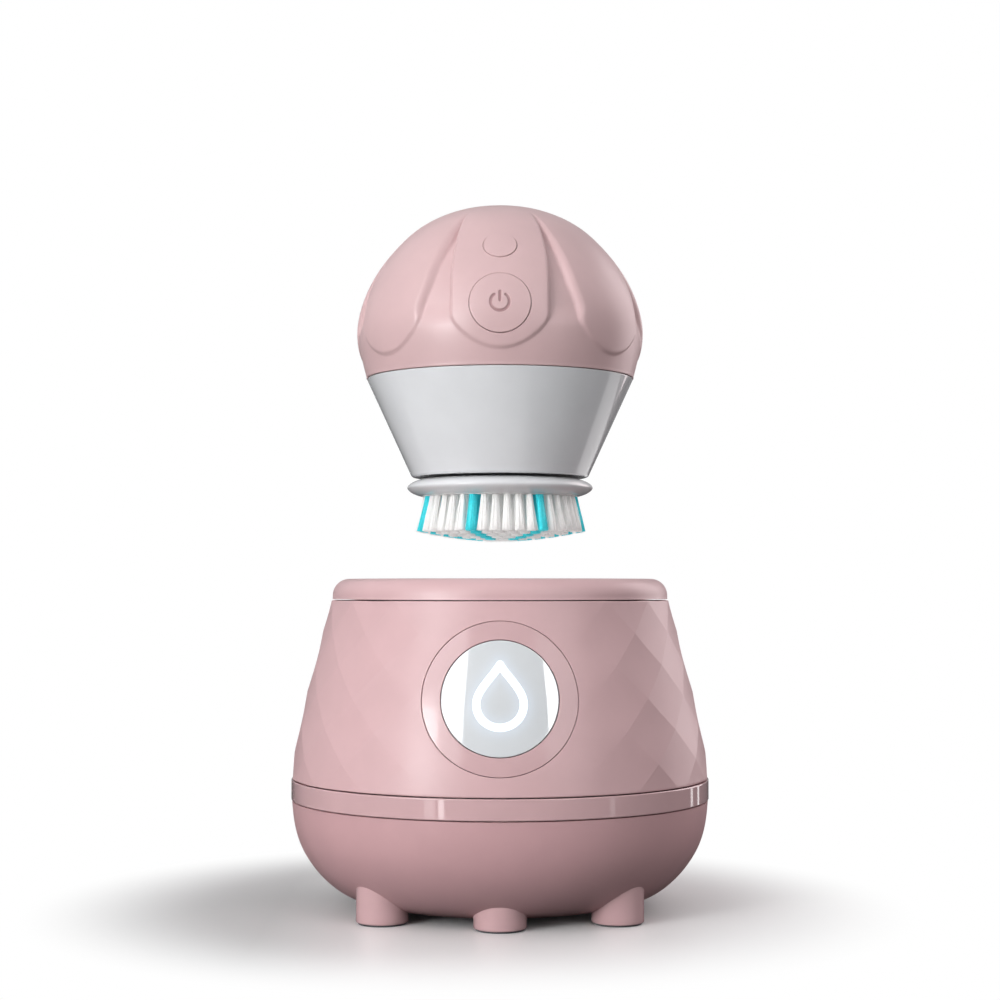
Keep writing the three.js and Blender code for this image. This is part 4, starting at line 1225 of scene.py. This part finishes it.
def only_on(holder, pieces, blockers=()):
    """Lets a light, unseen itself, reach these pieces only; blockers are the only ones that shade it."""
    holder.visible_camera = False
    linking = holder.light_linking
    linking.receiver_collection = bpy.data.collections.new(holder.name + "_on")
    for piece in pieces:
        linking.receiver_collection.objects.link(piece)
    if blockers:
        linking.blocker_collection = bpy.data.collections.new(holder.name + "_off")
        for piece in blockers:
            linking.blocker_collection.objects.link(piece)


def around(azimuth, elevation, distance):
    """A place seen from the object's middle at an azimuth from the front and an elevation."""
    a, e = math.radians(azimuth), math.radians(elevation)
    reach = distance * math.cos(e)
    return (reach * math.sin(a), -reach * math.cos(a), 0.1 + distance * math.sin(e))


def card(name, x, y, width, depth, watts, pieces, blockers=()):
    """A white card on the floor that lights some pieces from below."""
    only_on(area(name, (x, y, 0.002), (x, y, 1), width, depth, watts), pieces, blockers)


def pane(name, azimuth, width, watts):
    """A small bright window, low in the room, that shows in the glossy band at half its azimuth."""
    turn, half, z = math.radians(azimuth), math.radians(azimuth / 2), 0.011
    x = BAND_R * MM * math.sin(half) + 0.2 * math.sin(turn)
    y = -BAND_R * MM * math.cos(half) - 0.2 * math.cos(turn)
    light = area(name, (x, y, z), (x - math.sin(turn), y + math.cos(turn), z), width, 0.02, watts)
    only_on(light, [bpy.data.objects["dock_band"]])


def lights():
    middle = (0, 0, 0.09)
    lens = bpy.data.objects["window_glass"]
    others = [piece for piece in bpy.data.objects if piece.type == "MESH" and piece != lens]
    area("key_left", around(-42, 9, 0.9), middle, 0.68, 1.1, 5.6)
    area("spot_left", around(-42, 7, 0.8), middle, 0.2, 0.26, 1.25)
    only_on(area("strip_right", around(30.8, 18, 0.9), middle, 0.11, 0.8, 1.0), [lens])
    only_on(area("fill_right", around(38, 18, 0.9), middle, 0.45, 0.8, 1.4), others)
    area("edge_right", around(125, 10, 0.8), middle, 0.5, 0.9, 3.4, (1.0, 0.87, 0.88))
    collar = [bpy.data.objects["brush_collar"]]
    tufts = [piece for piece in bpy.data.objects if piece.name.startswith("head_tufts")]
    card("card_left", -0.16, -0.10, 0.48, 0.40, 0.26, collar)
    card("card_right", 0.27, 0.5, 0.4, 0.7, 0.8, collar)
    card("card_head", 0, 0, 0.10, 0.10, 0.17, tufts, tufts)
    pane("pane_a", -37.5, 0.022, 0.0022)
    pane("pane_b", -31, 0.012, 0.0035)
    pane("pane_c", 62, 0.012, 0.0008)
    pane("pane_d", 128, 0.01, 0.0014)
    pane("pane_e", 138, 0.01, 0.0012)


def camera():
    data = bpy.data.cameras.new("camera")
    data.lens = 69.2
    data.sensor_width = 36
    holder = bpy.data.objects.new("camera", data)
    scene.collection.objects.link(holder)
    holder.location = (0, -0.5314, 0.0869)
    holder.rotation_euler = (math.radians(92.578), 0, 0)
    scene.camera = holder


floor()
lights()
room()
camera()
